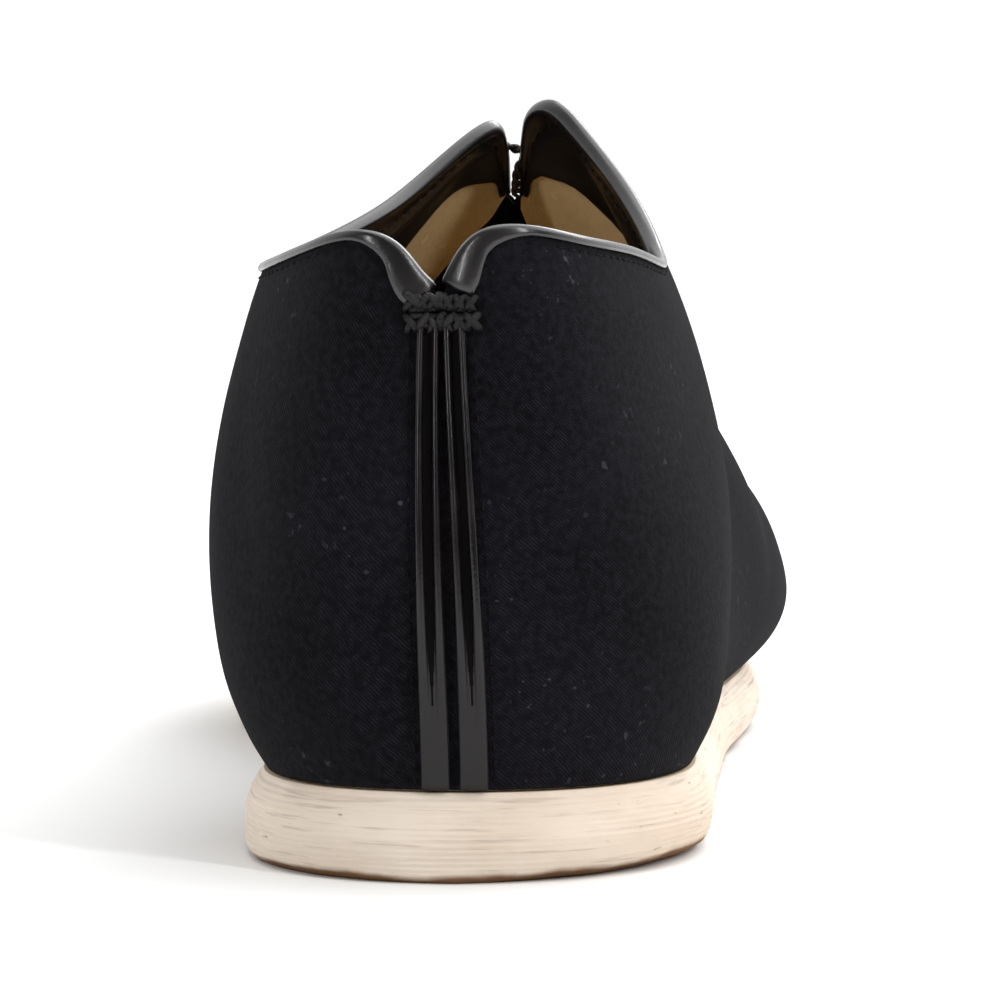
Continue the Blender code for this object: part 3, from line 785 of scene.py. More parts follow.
def add_stitches(
    bm: bmesh.types.BMesh,
    row: Sequence[Spot],
    pitch: float = 0.0026,
    length: float = 0.0021,
    width: float = 0.00034,
) -> int:
    """Adds a row of short stitches.

    Args:
        bm: the mesh to add to.
        row: the places that it runs through.
        pitch: from one stitch to the next, in metres.
        length: of one stitch.
        width: of the thread.

    Returns:
        How many stitches there are.
    """
    path, normals = np.array(row).transpose(1, 0, 2)
    walked = walk(path)
    centres = np.arange(0.5 * pitch, walked[-1], pitch)
    for centre in centres:
        ends = [read_line(centre + off * length, walked, path) for off in (-0.3, 0.3)]
        up = unit(read_line(centre, walked, normals))
        ahead = unit(ends[1] - ends[0])
        beside = unit(np.cross(up, ahead))
        up = np.cross(ahead, beside)
        turn = Matrix(np.column_stack([ahead, beside, up]).tolist()).to_4x4()
        place = Matrix.Translation(Vector(0.5 * (ends[0] + ends[1]) + up * 0.10 * width))
        scale = Matrix.Diagonal((length, width, width, 1.0))
        bmesh.ops.create_uvsphere(
            bm, u_segments=6, v_segments=5, radius=0.5, matrix=place @ turn @ scale
        )
    return len(centres)


def add_pad(
    bm: bmesh.types.BMesh,
    edges: dict[Side, np.ndarray],
    uvs: dict[Side, np.ndarray],
    across: int,
    cap: int,
) -> None:
    """Adds a closed flat body: its edge on both sides, then its lower and its upper face.

    Args:
        bm: the mesh to add to.
        edges: each side's edge as a grid from heel to toe and from below to above.
        uvs: the edges' UV maps, in metres.
        across: how many points lie across the lower and the upper face.
        cap: index of their material.
    """
    for side, grid in edges.items():
        add_sheet(bm, grid, uvs[side], 0, side is Side.MEDIAL)
    ease = np.linspace(0, 1, across)[None, :, None]
    for row, flip in ((0, True), (-1, False)):
        lateral, medial = (edges[side][:, row, None] for side in Side)
        face = lateral * (1 - ease) + medial * ease
        add_sheet(bm, face, face[..., :2], cap, flip)
    bmesh.ops.remove_doubles(bm, verts=bm.verts, dist=1e-6)
    bmesh.ops.dissolve_degenerate(bm, edges=bm.edges, dist=1e-7)
    bmesh.ops.recalc_face_normals(bm, faces=bm.faces)


def finish_piece(
    name: str,
    bm: bmesh.types.BMesh,
    materials: Sequence[bpy.types.Material],
    nodes: Sequence[str] = (),
) -> bpy.types.Object:
    """Makes a piece of a mesh and fastens it to the shoe.

    Args:
        name: the piece's name.
        bm: its mesh, which is freed.
        materials: its materials, in the order of the faces' indices.
        nodes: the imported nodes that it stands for.

    Returns:
        The object.
    """
    mesh = bpy.data.meshes.new(name)
    bm.to_mesh(mesh)
    bm.free()
    mesh.shade_smooth()
    for material in materials:
        mesh.materials.append(material)
    piece = bpy.data.objects.new(name, mesh)
    bpy.context.scene.collection.objects.link(piece)
    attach(piece, "root")
    if nodes:
        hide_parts(*nodes)
    LOG.info("%s: %d faces", name, len(mesh.polygons))
    return piece


def linear(colour: str) -> tuple[float, float, float, float]:
    """Turns a hex sRGB colour linear.

    Args:
        colour: such as "#0d0a0b".

    Returns:
        Red, green, blue and an opacity of 1.
    """
    parts = [int(colour[i : i + 2], 16) / 255 for i in (1, 3, 5)]
    turned = [c / 12.92 if c <= 0.04045 else ((c + 0.055) / 1.055) ** 2.4 for c in parts]
    return turned[0], turned[1], turned[2], 1.0


def add_node(
    tree: bpy.types.NodeTree, kind: str, links: dict, output: int | str = 0, **settings: object
) -> bpy.types.NodeSocket | None:
    """Adds a shader node.

    Args:
        tree: the nodes to add it to.
        kind: the node's type, without the word ShaderNode before it.
        links: for each input's name or number, a socket to link or a value to set.
        output: the name or number of the output to go on from.
        settings: the node's own properties.

    Returns:
        That output, or None for a node that has none.
    """
    node = tree.nodes.new("ShaderNode" + kind)
    for name, value in settings.items():
        setattr(node, name, value)
    for name, source in links.items():
        if isinstance(source, bpy.types.NodeSocket):
            tree.links.new(source, node.inputs[name])
        else:
            node.inputs[name].default_value = source
    return node.outputs[output] if len(node.outputs) else None


def new_material(name: str) -> tuple[bpy.types.Material, bpy.types.NodeTree]:
    """Makes an empty material.

    Args:
        name: the real material, and how it was made.

    Returns:
        The material and its nodes.
    """
    material = bpy.data.materials.new(name)
    material.use_nodes = True
    material.node_tree.nodes.clear()
    return material, material.node_tree


@dataclass(frozen=True)
class WovenCotton:
    """Woven cotton: matte, with over-and-under threads and a little lint.

    The real threads are 0.25 mm apart. They are drawn coarser where the render would lose them.
    """

    name: str
    colour: str
    second: str
    raised: str
    lint: str
    lint_share: float
    thread: float = 0.00050
    relief: float = 0.00012
    roughness: float = 0.95
    specular: float = 0.12
    sheen: float = 0.10
    # Dust and painted sheen: a paler tint on the outer forefoot, or empty for none.
    dust_and_sheen: str = ""

    def material(self) -> bpy.types.Material:
        """Builds it. The piece's UV map holds metres along and up the cloth.

        Returns:
            The material.
        """
        material, tree = new_material(self.name)
        place = add_node(tree, "TexCoord", {}, "Object")
        flat = add_node(tree, "TexCoord", {}, "UV")
        per_thread = (1 / self.thread, 1 / self.thread, 1.0)
        cloth = add_node(tree, "Mapping", {"Vector": flat, "Scale": per_thread})
        warp, weft = (
            add_node(
                tree,
                "TexWave",
                {"Vector": cloth, "Scale": scale, "Distortion": waver, "Detail": detail},
                "Fac",
                bands_direction=way,
            )
            for way, scale, waver, detail in (("DIAGONAL", 0.5, 3.0, 2.0), ("Y", 1.0, 0.4, 1.0))
        )
        weave = add_node(tree, "Math", {0: warp, 1: weft}, operation="MULTIPLY")
        fuzz, cloud, speck = (
            add_node(tree, "TexNoise", {"Vector": place, "Scale": scale, "Detail": detail}, "Fac")
            for scale, detail in ((900.0, 3.0), (38.0, 5.0), (620.0, 2.0))
        )
        top = 0.80 - self.lint_share
        shade, nap, specks, patches = (
            add_node(tree, "MapRange", {"Value": source, "From Min": low, "From Max": high})
            for source, low, high in (
                (cloud, 0.35, 0.68),
                (fuzz, 0.36, 0.64),
                (speck, top, top + 0.06),
                (cloud, 0.50, 0.66),
            )
        )
        threads = add_node(tree, "Math", {0: nap, 1: weave}, operation="MULTIPLY")
        lint = add_node(tree, "Math", {0: specks, 1: patches}, operation="MULTIPLY")
        layers = [(shade, self.second), (threads, self.raised), (lint, self.lint)]
        if self.dust_and_sheen:
            # Dust and painted sheen grey the outer side of the forefoot, where the side light
            # grazes the cloth.
            forward, outward = (
                add_node(
                    tree,
                    "MapRange",
                    {
                        "Value": add_node(tree, "SeparateXYZ", {"Vector": place}, axis),
                        "From Min": start,
                        "From Max": end,
                    },
                    interpolation_type="SMOOTHSTEP",
                )
                for axis, start, end in (("Y", 0.080, 0.175), ("X", 0.000, 0.040))
            )
            dust_and_sheen_share = add_node(tree, "Math", {0: forward, 1: outward}, operation="MULTIPLY")
            layers.append((dust_and_sheen_share, self.dust_and_sheen))
        colour = linear(self.colour)
        for share, tint in layers:
            links = {0: share, 6: colour, 7: linear(tint)}
            colour = add_node(tree, "Mix", links, 2, data_type="RGBA")
        height = add_node(tree, "Math", {0: fuzz, 1: 0.8, 2: weave}, operation="MULTIPLY_ADD")
        bump = {"Strength": 0.6, "Distance": self.relief, "Height": height}
        surface = {
            "Base Color": colour,
            "Roughness": self.roughness,
            "Specular IOR Level": self.specular,
            "Sheen Weight": self.sheen,
            "Sheen Roughness": 0.6,
            "Normal": add_node(tree, "Bump", bump),
        }
        add_node(tree, "OutputMaterial", {"Surface": add_node(tree, "BsdfPrincipled", surface)})
        return material


@dataclass(frozen=True)
class GlossLeather:
    """Black glazed leather: a fine grain under a clear gloss, brown where it has rubbed."""

    name: str
    colour: str
    rubbed: str
    roughness: float = 0.28
    coat: float = 0.22
    specular: float = 0.60
    grain: float = 0.0006
    relief: float = 0.00005
    rubbed_dull_below: float = 0.0

    def material(self) -> bpy.types.Material:
        """Builds it.

        Returns:
            The material.
        """
        material, tree = new_material(self.name)
        place = add_node(tree, "TexCoord", {}, "Object")
        grain = {"Vector": place, "Scale": 1 / self.grain}
        cells = add_node(tree, "TexVoronoi", grain, "Distance", feature="SMOOTH_F1")
        pull, wear = (
            add_node(tree, "TexNoise", {"Vector": place, "Scale": scale, "Detail": detail}, "Fac")
            for scale, detail in ((160.0, 3.0), (90.0, 4.0))
        )
        worn, gloss = (
            add_node(
                tree,
                "MapRange",
                {"Value": wear, "From Min": low, "From Max": high, "To Min": least, "To Max": most},
            )
            for low, high, least, most in (
                (0.45, 0.72, 0.0, 1.0),
                (0.3, 0.7, self.roughness - 0.06, self.roughness + 0.12),
            )
        )
        brown = {0: worn, 6: linear(self.colour), 7: linear(self.rubbed)}
        if self.rubbed_dull_below:
            up = {
                "Value": add_node(tree, "SeparateXYZ", {"Vector": place}, "Z"),
                "From Min": self.rubbed_dull_below + 0.014,
                "From Max": self.rubbed_dull_below - 0.010,
                "To Max": 0.42,
            }
            dull = add_node(tree, "MapRange", up, interpolation_type="SMOOTHSTEP")
            gloss = add_node(tree, "Math", {0: gloss, 1: dull}, operation="ADD")
        height = add_node(tree, "Math", {0: pull, 1: 3.0, 2: cells}, operation="MULTIPLY_ADD")
        bump = {"Strength": 0.35, "Distance": self.relief, "Height": height}
        surface = {
            "Base Color": add_node(tree, "Mix", brown, 2, data_type="RGBA"),
            "Roughness": gloss,
            "Specular IOR Level": self.specular,
            "Coat Weight": self.coat,
            "Coat Roughness": 0.14,
            "Normal": add_node(tree, "Bump", bump),
        }
        add_node(tree, "OutputMaterial", {"Surface": add_node(tree, "BsdfPrincipled", surface)})
        return material


@dataclass(frozen=True)
class LayeredEdge:
    """The cut edge of pasted cotton layers, whitened with chalk paint, dirty along the floor."""

    name: str
    colour: str
    shade: str
    line: str
    dirt: str
    layer: float = 0.00085

    def material(self) -> bpy.types.Material:
        """Builds it. The piece's UV map holds metres round the sole and metres up its edge.

        Returns:
            The material.
        """
        material, tree = new_material(self.name)
        place = add_node(tree, "TexCoord", {}, "Object")
        flat = add_node(tree, "TexCoord", {}, "UV")
        along, up = (add_node(tree, "SeparateXYZ", {"Vector": flat}, axis) for axis in "XY")
        waver, cloud, grain = (
            add_node(tree, "TexNoise", {"Vector": place, "Scale": scale, "Detail": detail}, "Fac")
            for scale, detail in ((60.0, 3.0), (45.0, 4.0), (1400.0, 2.0))
        )
        bent = add_node(tree, "Math", {0: waver, 1: 0.0008, 2: up}, operation="MULTIPLY_ADD")
        drawn = add_node(tree, "CombineXYZ", {"X": along, "Y": bent})
        streaks, nicks = (
            add_node(
                tree,
                "TexNoise",
                {
                    "Vector": add_node(tree, "Mapping", {"Vector": drawn, "Scale": scale}),
                    "Scale": 1.0,
                    "Detail": detail,
                    "Roughness": rough,
                },
                "Fac",
            )
            for scale, detail, rough in (
                ((55.0, 1 / self.layer, 1.0), 3.0, 0.6),
                ((240.0, 900.0, 1.0), 2.0, 0.5),
            )
        )
        soft, lines, nick = (
            add_node(
                tree,
                "MapRange",
                {"Value": source, "From Min": low, "From Max": high, "To Max": most},
            )
            for source, low, high, most in (
                (cloud, 0.35, 0.70, 1.0),
                (streaks, 0.56, 0.72, 0.45),
                (nicks, 0.70, 0.78, 0.75),
            )
        )
        low = add_node(tree, "Math", {0: cloud, 1: -0.0042, 2: up}, operation="MULTIPLY_ADD")
        by_floor = {"Value": low, "From Min": -0.0002, "From Max": -0.0013}
        dirty = add_node(tree, "MapRange", by_floor, interpolation_type="SMOOTHSTEP")
        colour = linear(self.colour)
        for share, tint in (
            (soft, self.shade),
            (lines, self.line),
            (nick, self.dirt),
            (dirty, self.dirt),
        ):
            links = {0: share, 6: colour, 7: linear(tint)}
            colour = add_node(tree, "Mix", links, 2, data_type="RGBA")
        height = add_node(tree, "Math", {0: grain, 1: 0.5, 2: streaks}, operation="MULTIPLY_ADD")
        bump = {"Strength": 0.7, "Distance": 0.00016, "Height": height}
        surface = {
            "Base Color": colour,
            "Roughness": 0.88,
            "Specular IOR Level": 0.2,
            "Normal": add_node(tree, "Bump", bump),
        }
        add_node(tree, "OutputMaterial", {"Surface": add_node(tree, "BsdfPrincipled", surface)})
        return material


@dataclass(frozen=True)
class TwistedThread:
    """Cotton thread: fine ply lines across it, and a dull shine where it is waxed."""

    name: str
    colour: str
    ply: float = 0.0007
    roughness: float = 0.5
    specular: float = 0.12
    faded: str = "#2a2527"

    def material(self) -> bpy.types.Material:
        """Builds it.

        Returns:
            The material.
        """
        material, tree = new_material(self.name)
        place = add_node(tree, "TexCoord", {}, "Object")
        mottle = add_node(tree, "TexNoise", {"Vector": place, "Scale": 500.0, "Detail": 2.0}, "Fac")
        tone = {"Value": mottle, "From Min": 0.4, "From Max": 0.75, "To Max": 0.5}
        colour = {
            0: add_node(tree, "MapRange", tone),
            6: linear(self.colour),
            7: linear(self.faded),
        }
        wave = {"Vector": place, "Scale": 0.5 / self.ply, "Distortion": 1.0}
        plies = add_node(tree, "TexWave", wave, "Fac", bands_direction="DIAGONAL")
        bump = {"Strength": 0.6, "Distance": 0.0001, "Height": plies}
        surface = {
            "Base Color": add_node(tree, "Mix", colour, 2, data_type="RGBA"),
            "Roughness": self.roughness,
            "Specular IOR Level": self.specular,
            "Normal": add_node(tree, "Bump", bump),
        }
        add_node(tree, "OutputMaterial", {"Surface": add_node(tree, "BsdfPrincipled", surface)})
        return material


class Finishes:
    """Every material of the shoe."""

    def __init__(self) -> None:
        """Makes them all."""
        # Brushed cotton drinks the light: near black, with a grey nap and lint. Dust and painted
        # sheen grey the outer forefoot.
        self.cloth = WovenCotton(
            "black_brushed_cotton",
            "#070609",
            "#0f0e13",
            "#2b2a31",
            "#3d3c43",
            0.13,
            dust_and_sheen="#232327",
            sheen=0.02,
            specular=0.04,
        ).material()
        # Painted shade: the lining inside the vamp is near black to stand for the unlit inside of
        # the toe; matte, darker than the nap outside.
        self.cavity_shade = WovenCotton(
            "painted_shade_cotton_lining",
            "#0b0b0e",
            "#100f13",
            "#1c1c20",
            "#222226",
            0.10,
            sheen=0.0,
            specular=0.04,
        ).material()
        # Undyed drill and canvas inside: warm tan, matte, with paler raised threads.
        self.lining = WovenCotton(
            "tan_cotton_drill",
            "#e4c796",
            "#d6b886",
            "#efd9ad",
            "#efdcb6",
            0.16,
            specular=0.1,
            sheen=0.04,
        ).material()
        self.insole = WovenCotton(
            "tan_cotton_canvas",
            "#c0a578",
            "#b3996b",
            "#d6bf92",
            "#d6c39a",
            0.16,
            specular=0.1,
            sheen=0.04,
        ).material()
        # Coarse raw canvas under the sole, with brown lint trodden in.
        self.under = WovenCotton(
            "raw_cotton_canvas", "#c6b299", "#b29c80", "#d2c0a8", "#6c5a45", 0.17, thread=0.0008
        ).material()
        # Glazed leather: black with a clear gloss that mirrors the lights as soft lines.
        self.leather = GlossLeather("black_glazed_leather", "#0d0a0b", "#1c1415").material()
        self.corded = GlossLeather(
            "black_corded_leather",
            "#0c090a",
            "#191213",
            roughness=0.16,
            coat=0.08,
            specular=0.42,
            rubbed_dull_below=0.034,
        ).material()
        # Leather with no glaze: a broad dull shine inside, and none in the strips' channels, whose
        # darker colour is painted shade in the groove between the cords.
        self.facing = GlossLeather(
            "black_smooth_leather", "#0b090a", "#171213", roughness=0.42, coat=0.0, specular=0.35
        ).material()
        self.channel = GlossLeather(
            "dull_leather_painted_groove_shade", "#060506", "#0c090a", roughness=0.85, coat=0.0, specular=0.1
        ).material()
        # Chalk over pasted layers: cream and matte, with grey lines and brown dirt at the floor.
        self.edge = LayeredEdge(
            "chalked_layered_cotton", "#eadccd", "#dccab8", "#857b74", "#7a5a3e"
        ).material()
        # Waxed thread shines a little, bare cotton thread doesn't.
        self.thread = TwistedThread(
            "black_waxed_thread", "#09080a", roughness=0.6, specular=0.3
        ).material()
        self.stitch = TwistedThread("black_cotton_thread", "#08080a", roughness=0.9).material()
        self.cord = TwistedThread(
            "brown_waxed_cord", "#2c1d17", roughness=0.4, specular=0.5
        ).material()


class LiningRow(NamedTuple):
    """Where the lining turns to the painted shade of the unlit toe: share down the wall, and
    station.
    """

    below: float
    station: float


# Painted shade: from these stations forward the lining is near black for the unlit inside of the
# toe.
VAMP_LINING_SHADE = {
    Side.LATERAL: (
        LiningRow(0.00, 13.3),
        LiningRow(0.03, 14.0),
        LiningRow(0.08, 14.8),
        LiningRow(0.30, 15.5),
        LiningRow(1.00, 16.0),
    ),
    Side.MEDIAL: (
        LiningRow(0.00, 13.2),
        LiningRow(0.06, 13.7),
        LiningRow(0.12, 14.0),
        LiningRow(0.30, 14.6),
        LiningRow(1.00, 15.5),
    ),
}


@dataclass
class Upper:
    """Two cloth halves, joined at the heel and down the vamp, over a lining."""

    skin: Skin
    finishes: Finishes
    cloth: float = 0.0006
    lining: float = 0.0004

    def build(self) -> None:
        """Builds the cloth and the lining."""
        self._shell("upper_cloth", None, self.cloth, [self.finishes.cloth], ["upper"])
        # The second lining material is painted shade for the unlit inside of the toe.
        linings = [self.finishes.lining, self.finishes.cavity_shade]
        self._shell("upper_lining", self.lining, self.lining, linings, [])

    def _shell(
        self,
        name: str,
        above: float | None,
        thickness: float,
        materials: Sequence[bpy.types.Material],
        nodes: Sequence[str],
    ) -> None:
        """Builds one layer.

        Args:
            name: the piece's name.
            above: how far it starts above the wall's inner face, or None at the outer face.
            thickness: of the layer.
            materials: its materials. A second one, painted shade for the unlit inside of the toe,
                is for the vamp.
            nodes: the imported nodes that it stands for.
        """
        bm = bmesh.new()
        skin = self.skin
        for side in Side:
            points, uvs = skin.points[side], skin.uvs[side]
            if above is not None:
                points = points - skin.normals[side] * (skin.depths[side] - above)[..., None]
            if len(materials) == 1:
                add_sheet(bm, points, uvs, 0, side is Side.MEDIAL)
                continue
            both = np.concatenate([points, uvs], axis=2)
            # Ahead of this cut the lining takes the near-black painted shade.
            cut = read_rows(1 - skin.shares, VAMP_LINING_SHADE[side], "below", "station")
            cut = np.interp(cut, skin.stations, np.arange(len(skin.stations)))
            for kind, start, end in ((0, cut * 0, cut), (1, cut, cut * 0 + len(points) - 1)):
                part = self._between(both, start, end, len(points) // 2)
                add_sheet(bm, part[..., :3], part[..., 3:], kind, side is Side.MEDIAL)
        bmesh.ops.remove_doubles(bm, verts=bm.verts, dist=2e-5)
        piece = finish_piece(name, bm, materials, nodes)
        wall = piece.modifiers.new("thickness", "SOLIDIFY")
        wall.thickness = thickness
        wall.offset = -1

    def _between(
        self, grid: np.ndarray, start: np.ndarray, end: np.ndarray, count: int
    ) -> np.ndarray:
        """Reads evenly spaced columns from a grid.

        Args:
            grid: columns by rows by values.
            start: on each row, the column to start from.
            end: on each row, the column to end at.
            count: how many columns to read.

        Returns:
            The new grid.
        """
        index = start + (end - start) * np.linspace(0, 1, count)[:, None]
        low = np.clip(index.astype(int), 0, len(grid) - 2)
        share = (index - low)[..., None]
        rows = np.arange(grid.shape[1])
        return grid[low, rows] * (1 - share) + grid[low + 1, rows] * share


class BandZone(Enum):
    """Which part of the folded binding a point of its section is on."""

    OUTSIDE = "down the outer face"
    ROLL = "over the edge"
    INSIDE = "down the inner face"


class BandRow(NamedTuple):
    """A point of the binding's section: its place in the zone, and its height over the cloth."""

    zone: BandZone
    place: float
    lift: float


def band_rows(*zones: tuple[BandZone, Sequence[tuple[float, float]]]) -> tuple[BandRow, ...]:
    """Rows from each zone's pairs of place and lift."""
    return tuple(BandRow(zone, *pair) for zone, pairs in zones for pair in pairs)


BAND_SECTION = band_rows(
    (BandZone.OUTSIDE, (
        (1.00, 0.05), (0.99, 0.45), (0.94, 0.75), (0.82, 0.98), (0.60, 1.10), (0.38, 1.12),
        (0.16, 1.05),
    )),
    (BandZone.ROLL, (
        (18, 1.00), (42, 1.00), (66, 1.00), (90, 1.00), (114, 1.00), (138, 1.00), (162, 1.02),
    )),
    (BandZone.INSIDE, (
        (0.03, 1.08), (0.08, 1.10), (0.12, 0.85), (0.15, 0.62), (0.18, 0.70), (0.23, 0.96),
        (0.30, 1.06), (0.42, 1.02), (0.60, 0.94), (0.78, 0.90), (0.88, 0.95), (0.95, 0.80),
        (0.99, 0.45), (1.00, 0.05),
    )),
)
BAND_BACK = band_rows(
    (BandZone.INSIDE, (
        (0.90, 0.0), (0.50, 0.0), (0.10, 0.0),
    )),
    (BandZone.ROLL, (
        (150, 0.0), (90, 0.0), (30, 0.0),
    )),
    (BandZone.OUTSIDE, (
        (0.40, 0.0), (0.80, 0.0),
    )),
)


class FacingRow(NamedTuple):
    """How wide the binding's inner side is at a station of the collar."""

    station: float
    width: float


FACINGS = {
    Side.LATERAL: (
        FacingRow(0.0, 0.0140),
        FacingRow(5.0, 0.0180),
        FacingRow(7.0, 0.0260),
        FacingRow(8.5, 0.0290),
        FacingRow(10.4, 0.0255),
        FacingRow(11.0, 0.0200),
        FacingRow(11.5, 0.0120),
        FacingRow(12.0, 0.0045),
        FacingRow(12.5, 0.0013),
        FacingRow(12.9, 0.0010),
        FacingRow(14.0, 0.0010),
    ),
    Side.MEDIAL: (
        FacingRow(0.0, 0.0140),
        FacingRow(5.0, 0.0180),
        FacingRow(9.0, 0.0220),
        FacingRow(10.4, 0.0200),
        FacingRow(11.0, 0.0155),
        FacingRow(12.0, 0.0060),
        FacingRow(12.5, 0.0019),
        FacingRow(12.9, 0.0012),
        FacingRow(14.0, 0.0010),
    ),
}


@dataclass
class CollarBinding:
    """The leather folded over the top edge of each half, with its rows of stitches."""

    skin: Skin
    finishes: Finishes
    girth: float = 0.04
    lip: float = 0.0010
    notch_lip: float = 0.0044
    leather: float = 0.00055
    clear: float = 0.00012
    tucked: float = 0.0014
    stitches: list[list[Spot]] = field(default_factory=list)

    def _inside(
        self, side: Side, column: int, straight: np.ndarray, distance: float, by_column: float
    ) -> Spot:
        """A place on the inner face below the rim.

        Args:
            side: which half.
            column: the grid column.
            straight: the place straight down from the rim.
            distance: how far below the rim.
            by_column: 0 takes the straight place, 1 the one down the grid column.

        Returns:
            The place and the outward direction.
        """
        walked = self.skin.walk_down(side, column, distance, 1.0)
        return self.skin.nearest(self.skin.inner, straight * (1 - by_column) + walked * by_column)

    def build(self) -> None:
        """Builds both bindings and their stitches."""
        for side in Side:
            self._binding(side)
        bm = bmesh.new()
        count = sum(add_stitches(bm, row) for row in self.stitches)
        finish_piece("collar_stitches", bm, [self.finishes.stitch])
        LOG.info("collar stitches: %d", count)

    def _binding(self, side: Side) -> None:
        """Lofts the binding of one half.

        Args:
            side: which half.
        """
        last, skin = self.skin.last, self.skin
        edge = skin.points[side][:, -1]
        other = skin.points[Side(-side.value)][:, -1]
        back = edge - skin.normals[side][:, -1] * skin.depths[side][:, -1:]
        half_gap = np.linalg.norm(edge[:, :2] - other[:, :2], axis=1) / 2
        open_here = (skin.stations < THROAT_ROW - 0.8) & (half_gap > 0.9 * self.leather)
        used = np.flatnonzero(open_here)
        path = unit(np.gradient(edge[used], axis=0))
        stations = skin.stations[used]
        lips = np.interp(stations, (1.0, 3.2), (self.notch_lip, self.lip))
        facings = read_rows(stations, FACINGS[side], "station", "width")
        lowest = last.back_height - last.notch_depth - self.tucked
        rings, under_lip, in_groove = [], [], []
        for k, i in enumerate(used):
            through = unit(edge[i] - back[i])
            down = unit(side.value * np.cross(path[k], through))
            room = (edge[i][2] - lowest) / max(-down[2], 0.1)
            lip = min(lips[k], room)
            wide = float(smooth_step(-stations[k], -3.2, -1.2))
            at_slit = float(smooth_step(stations[k], 11.2, 12.2))
            thick = self.leather * (1 + 0.6 * wide + 0.9 * at_slit)
            thick = min(thick, half_gap[i] - 2 * self.clear)
            by_column = float(smooth_step(stations[k], 2.5, 4.5))
            half = 0.5 * np.linalg.norm(edge[i] - back[i])
            middle = 0.5 * (edge[i] + back[i])
            ring = []
            for row in BAND_SECTION + BAND_BACK:
                lift = self.clear + row.lift * thick
                if row.zone is BandZone.OUTSIDE:
                    place, normal = skin.nearest(skin.outer, edge[i] + down * lip * row.place)
                    ring.append(place + normal * lift)
                elif row.zone is BandZone.INSIDE:
                    below = facings[k] * row.place
                    place, normal = self._inside(side, i, back[i] + down * below, below, by_column)
                    ring.append(place - normal * lift)
                else:
                    turn = math.radians(row.place)
                    round_it = through * (half + lift) * math.cos(turn)
                    ring.append(middle + round_it - down * lift * math.sin(turn))
            rings.append(ring)
            if facings[k] > 0.007:
                deep = facings[k] * 0.15
                place, normal = self._inside(side, i, back[i] + down * deep, deep, by_column)
                in_groove.append((place - normal * (self.clear + 0.62 * thick), -normal))
            if lips[k] < 1.3 * self.lip and stations[k] < THROAT_ROW - 3.0:
                under_lip.append(skin.nearest(skin.outer, edge[i] + down * (lip + SEWN_OFF)))
        bm = bmesh.new()
        rows = BAND_SECTION + BAND_BACK
        kinds = [int(row.zone is BandZone.INSIDE and row.place > 0.20) for row in rows]
        kinds = np.broadcast_to(kinds, (len(rings) - 1, len(rows)))
        add_loft(bm, np.array(rings), walk(edge[used]), self.girth, kinds)
        name = "collar_binding_" + side.label
        materials = [self.finishes.leather, self.finishes.facing]
        finish_piece(name + "_leather", bm, materials, [name])
        self.stitches += [under_lip, in_groove]


class PipingRow(NamedTuple):
    """A point of a seam strip's section: place across it, and its heights flat and piped."""

    place: float
    flat: float
    piped: float


def piping_section() -> tuple[PipingRow, ...]:
    """Draws the section of a strip with a half-round cord in each edge.

    Returns:
        The section's points from one edge to the other.
    """
    rows = []
    for turn in np.linspace(0, np.pi, 13):
        round_it = float(np.sin(turn))
        place = 0.180 * (1 - float(np.cos(turn)))
        low = 0.10 if turn < 0.1 else 0.42
        rows.append(PipingRow(place, min(1.0, 0.10 + 1.6 * place / 0.1), low + 1.10 * round_it))
    rows += [PipingRow(place, 1.0, 0.30) for place in (0.38, 0.40, 0.42, 0.45, 0.48)]
    mirrored = [PipingRow(1 - row.place, row.flat, row.piped) for row in reversed(rows)]
    return tuple(rows + mirrored)


PIPING_SECTION = piping_section()
PIPING_BACK = (PipingRow(0.85, 0.0, 0.0), PipingRow(0.50, 0.0, 0.0), PipingRow(0.15, 0.0, 0.0))


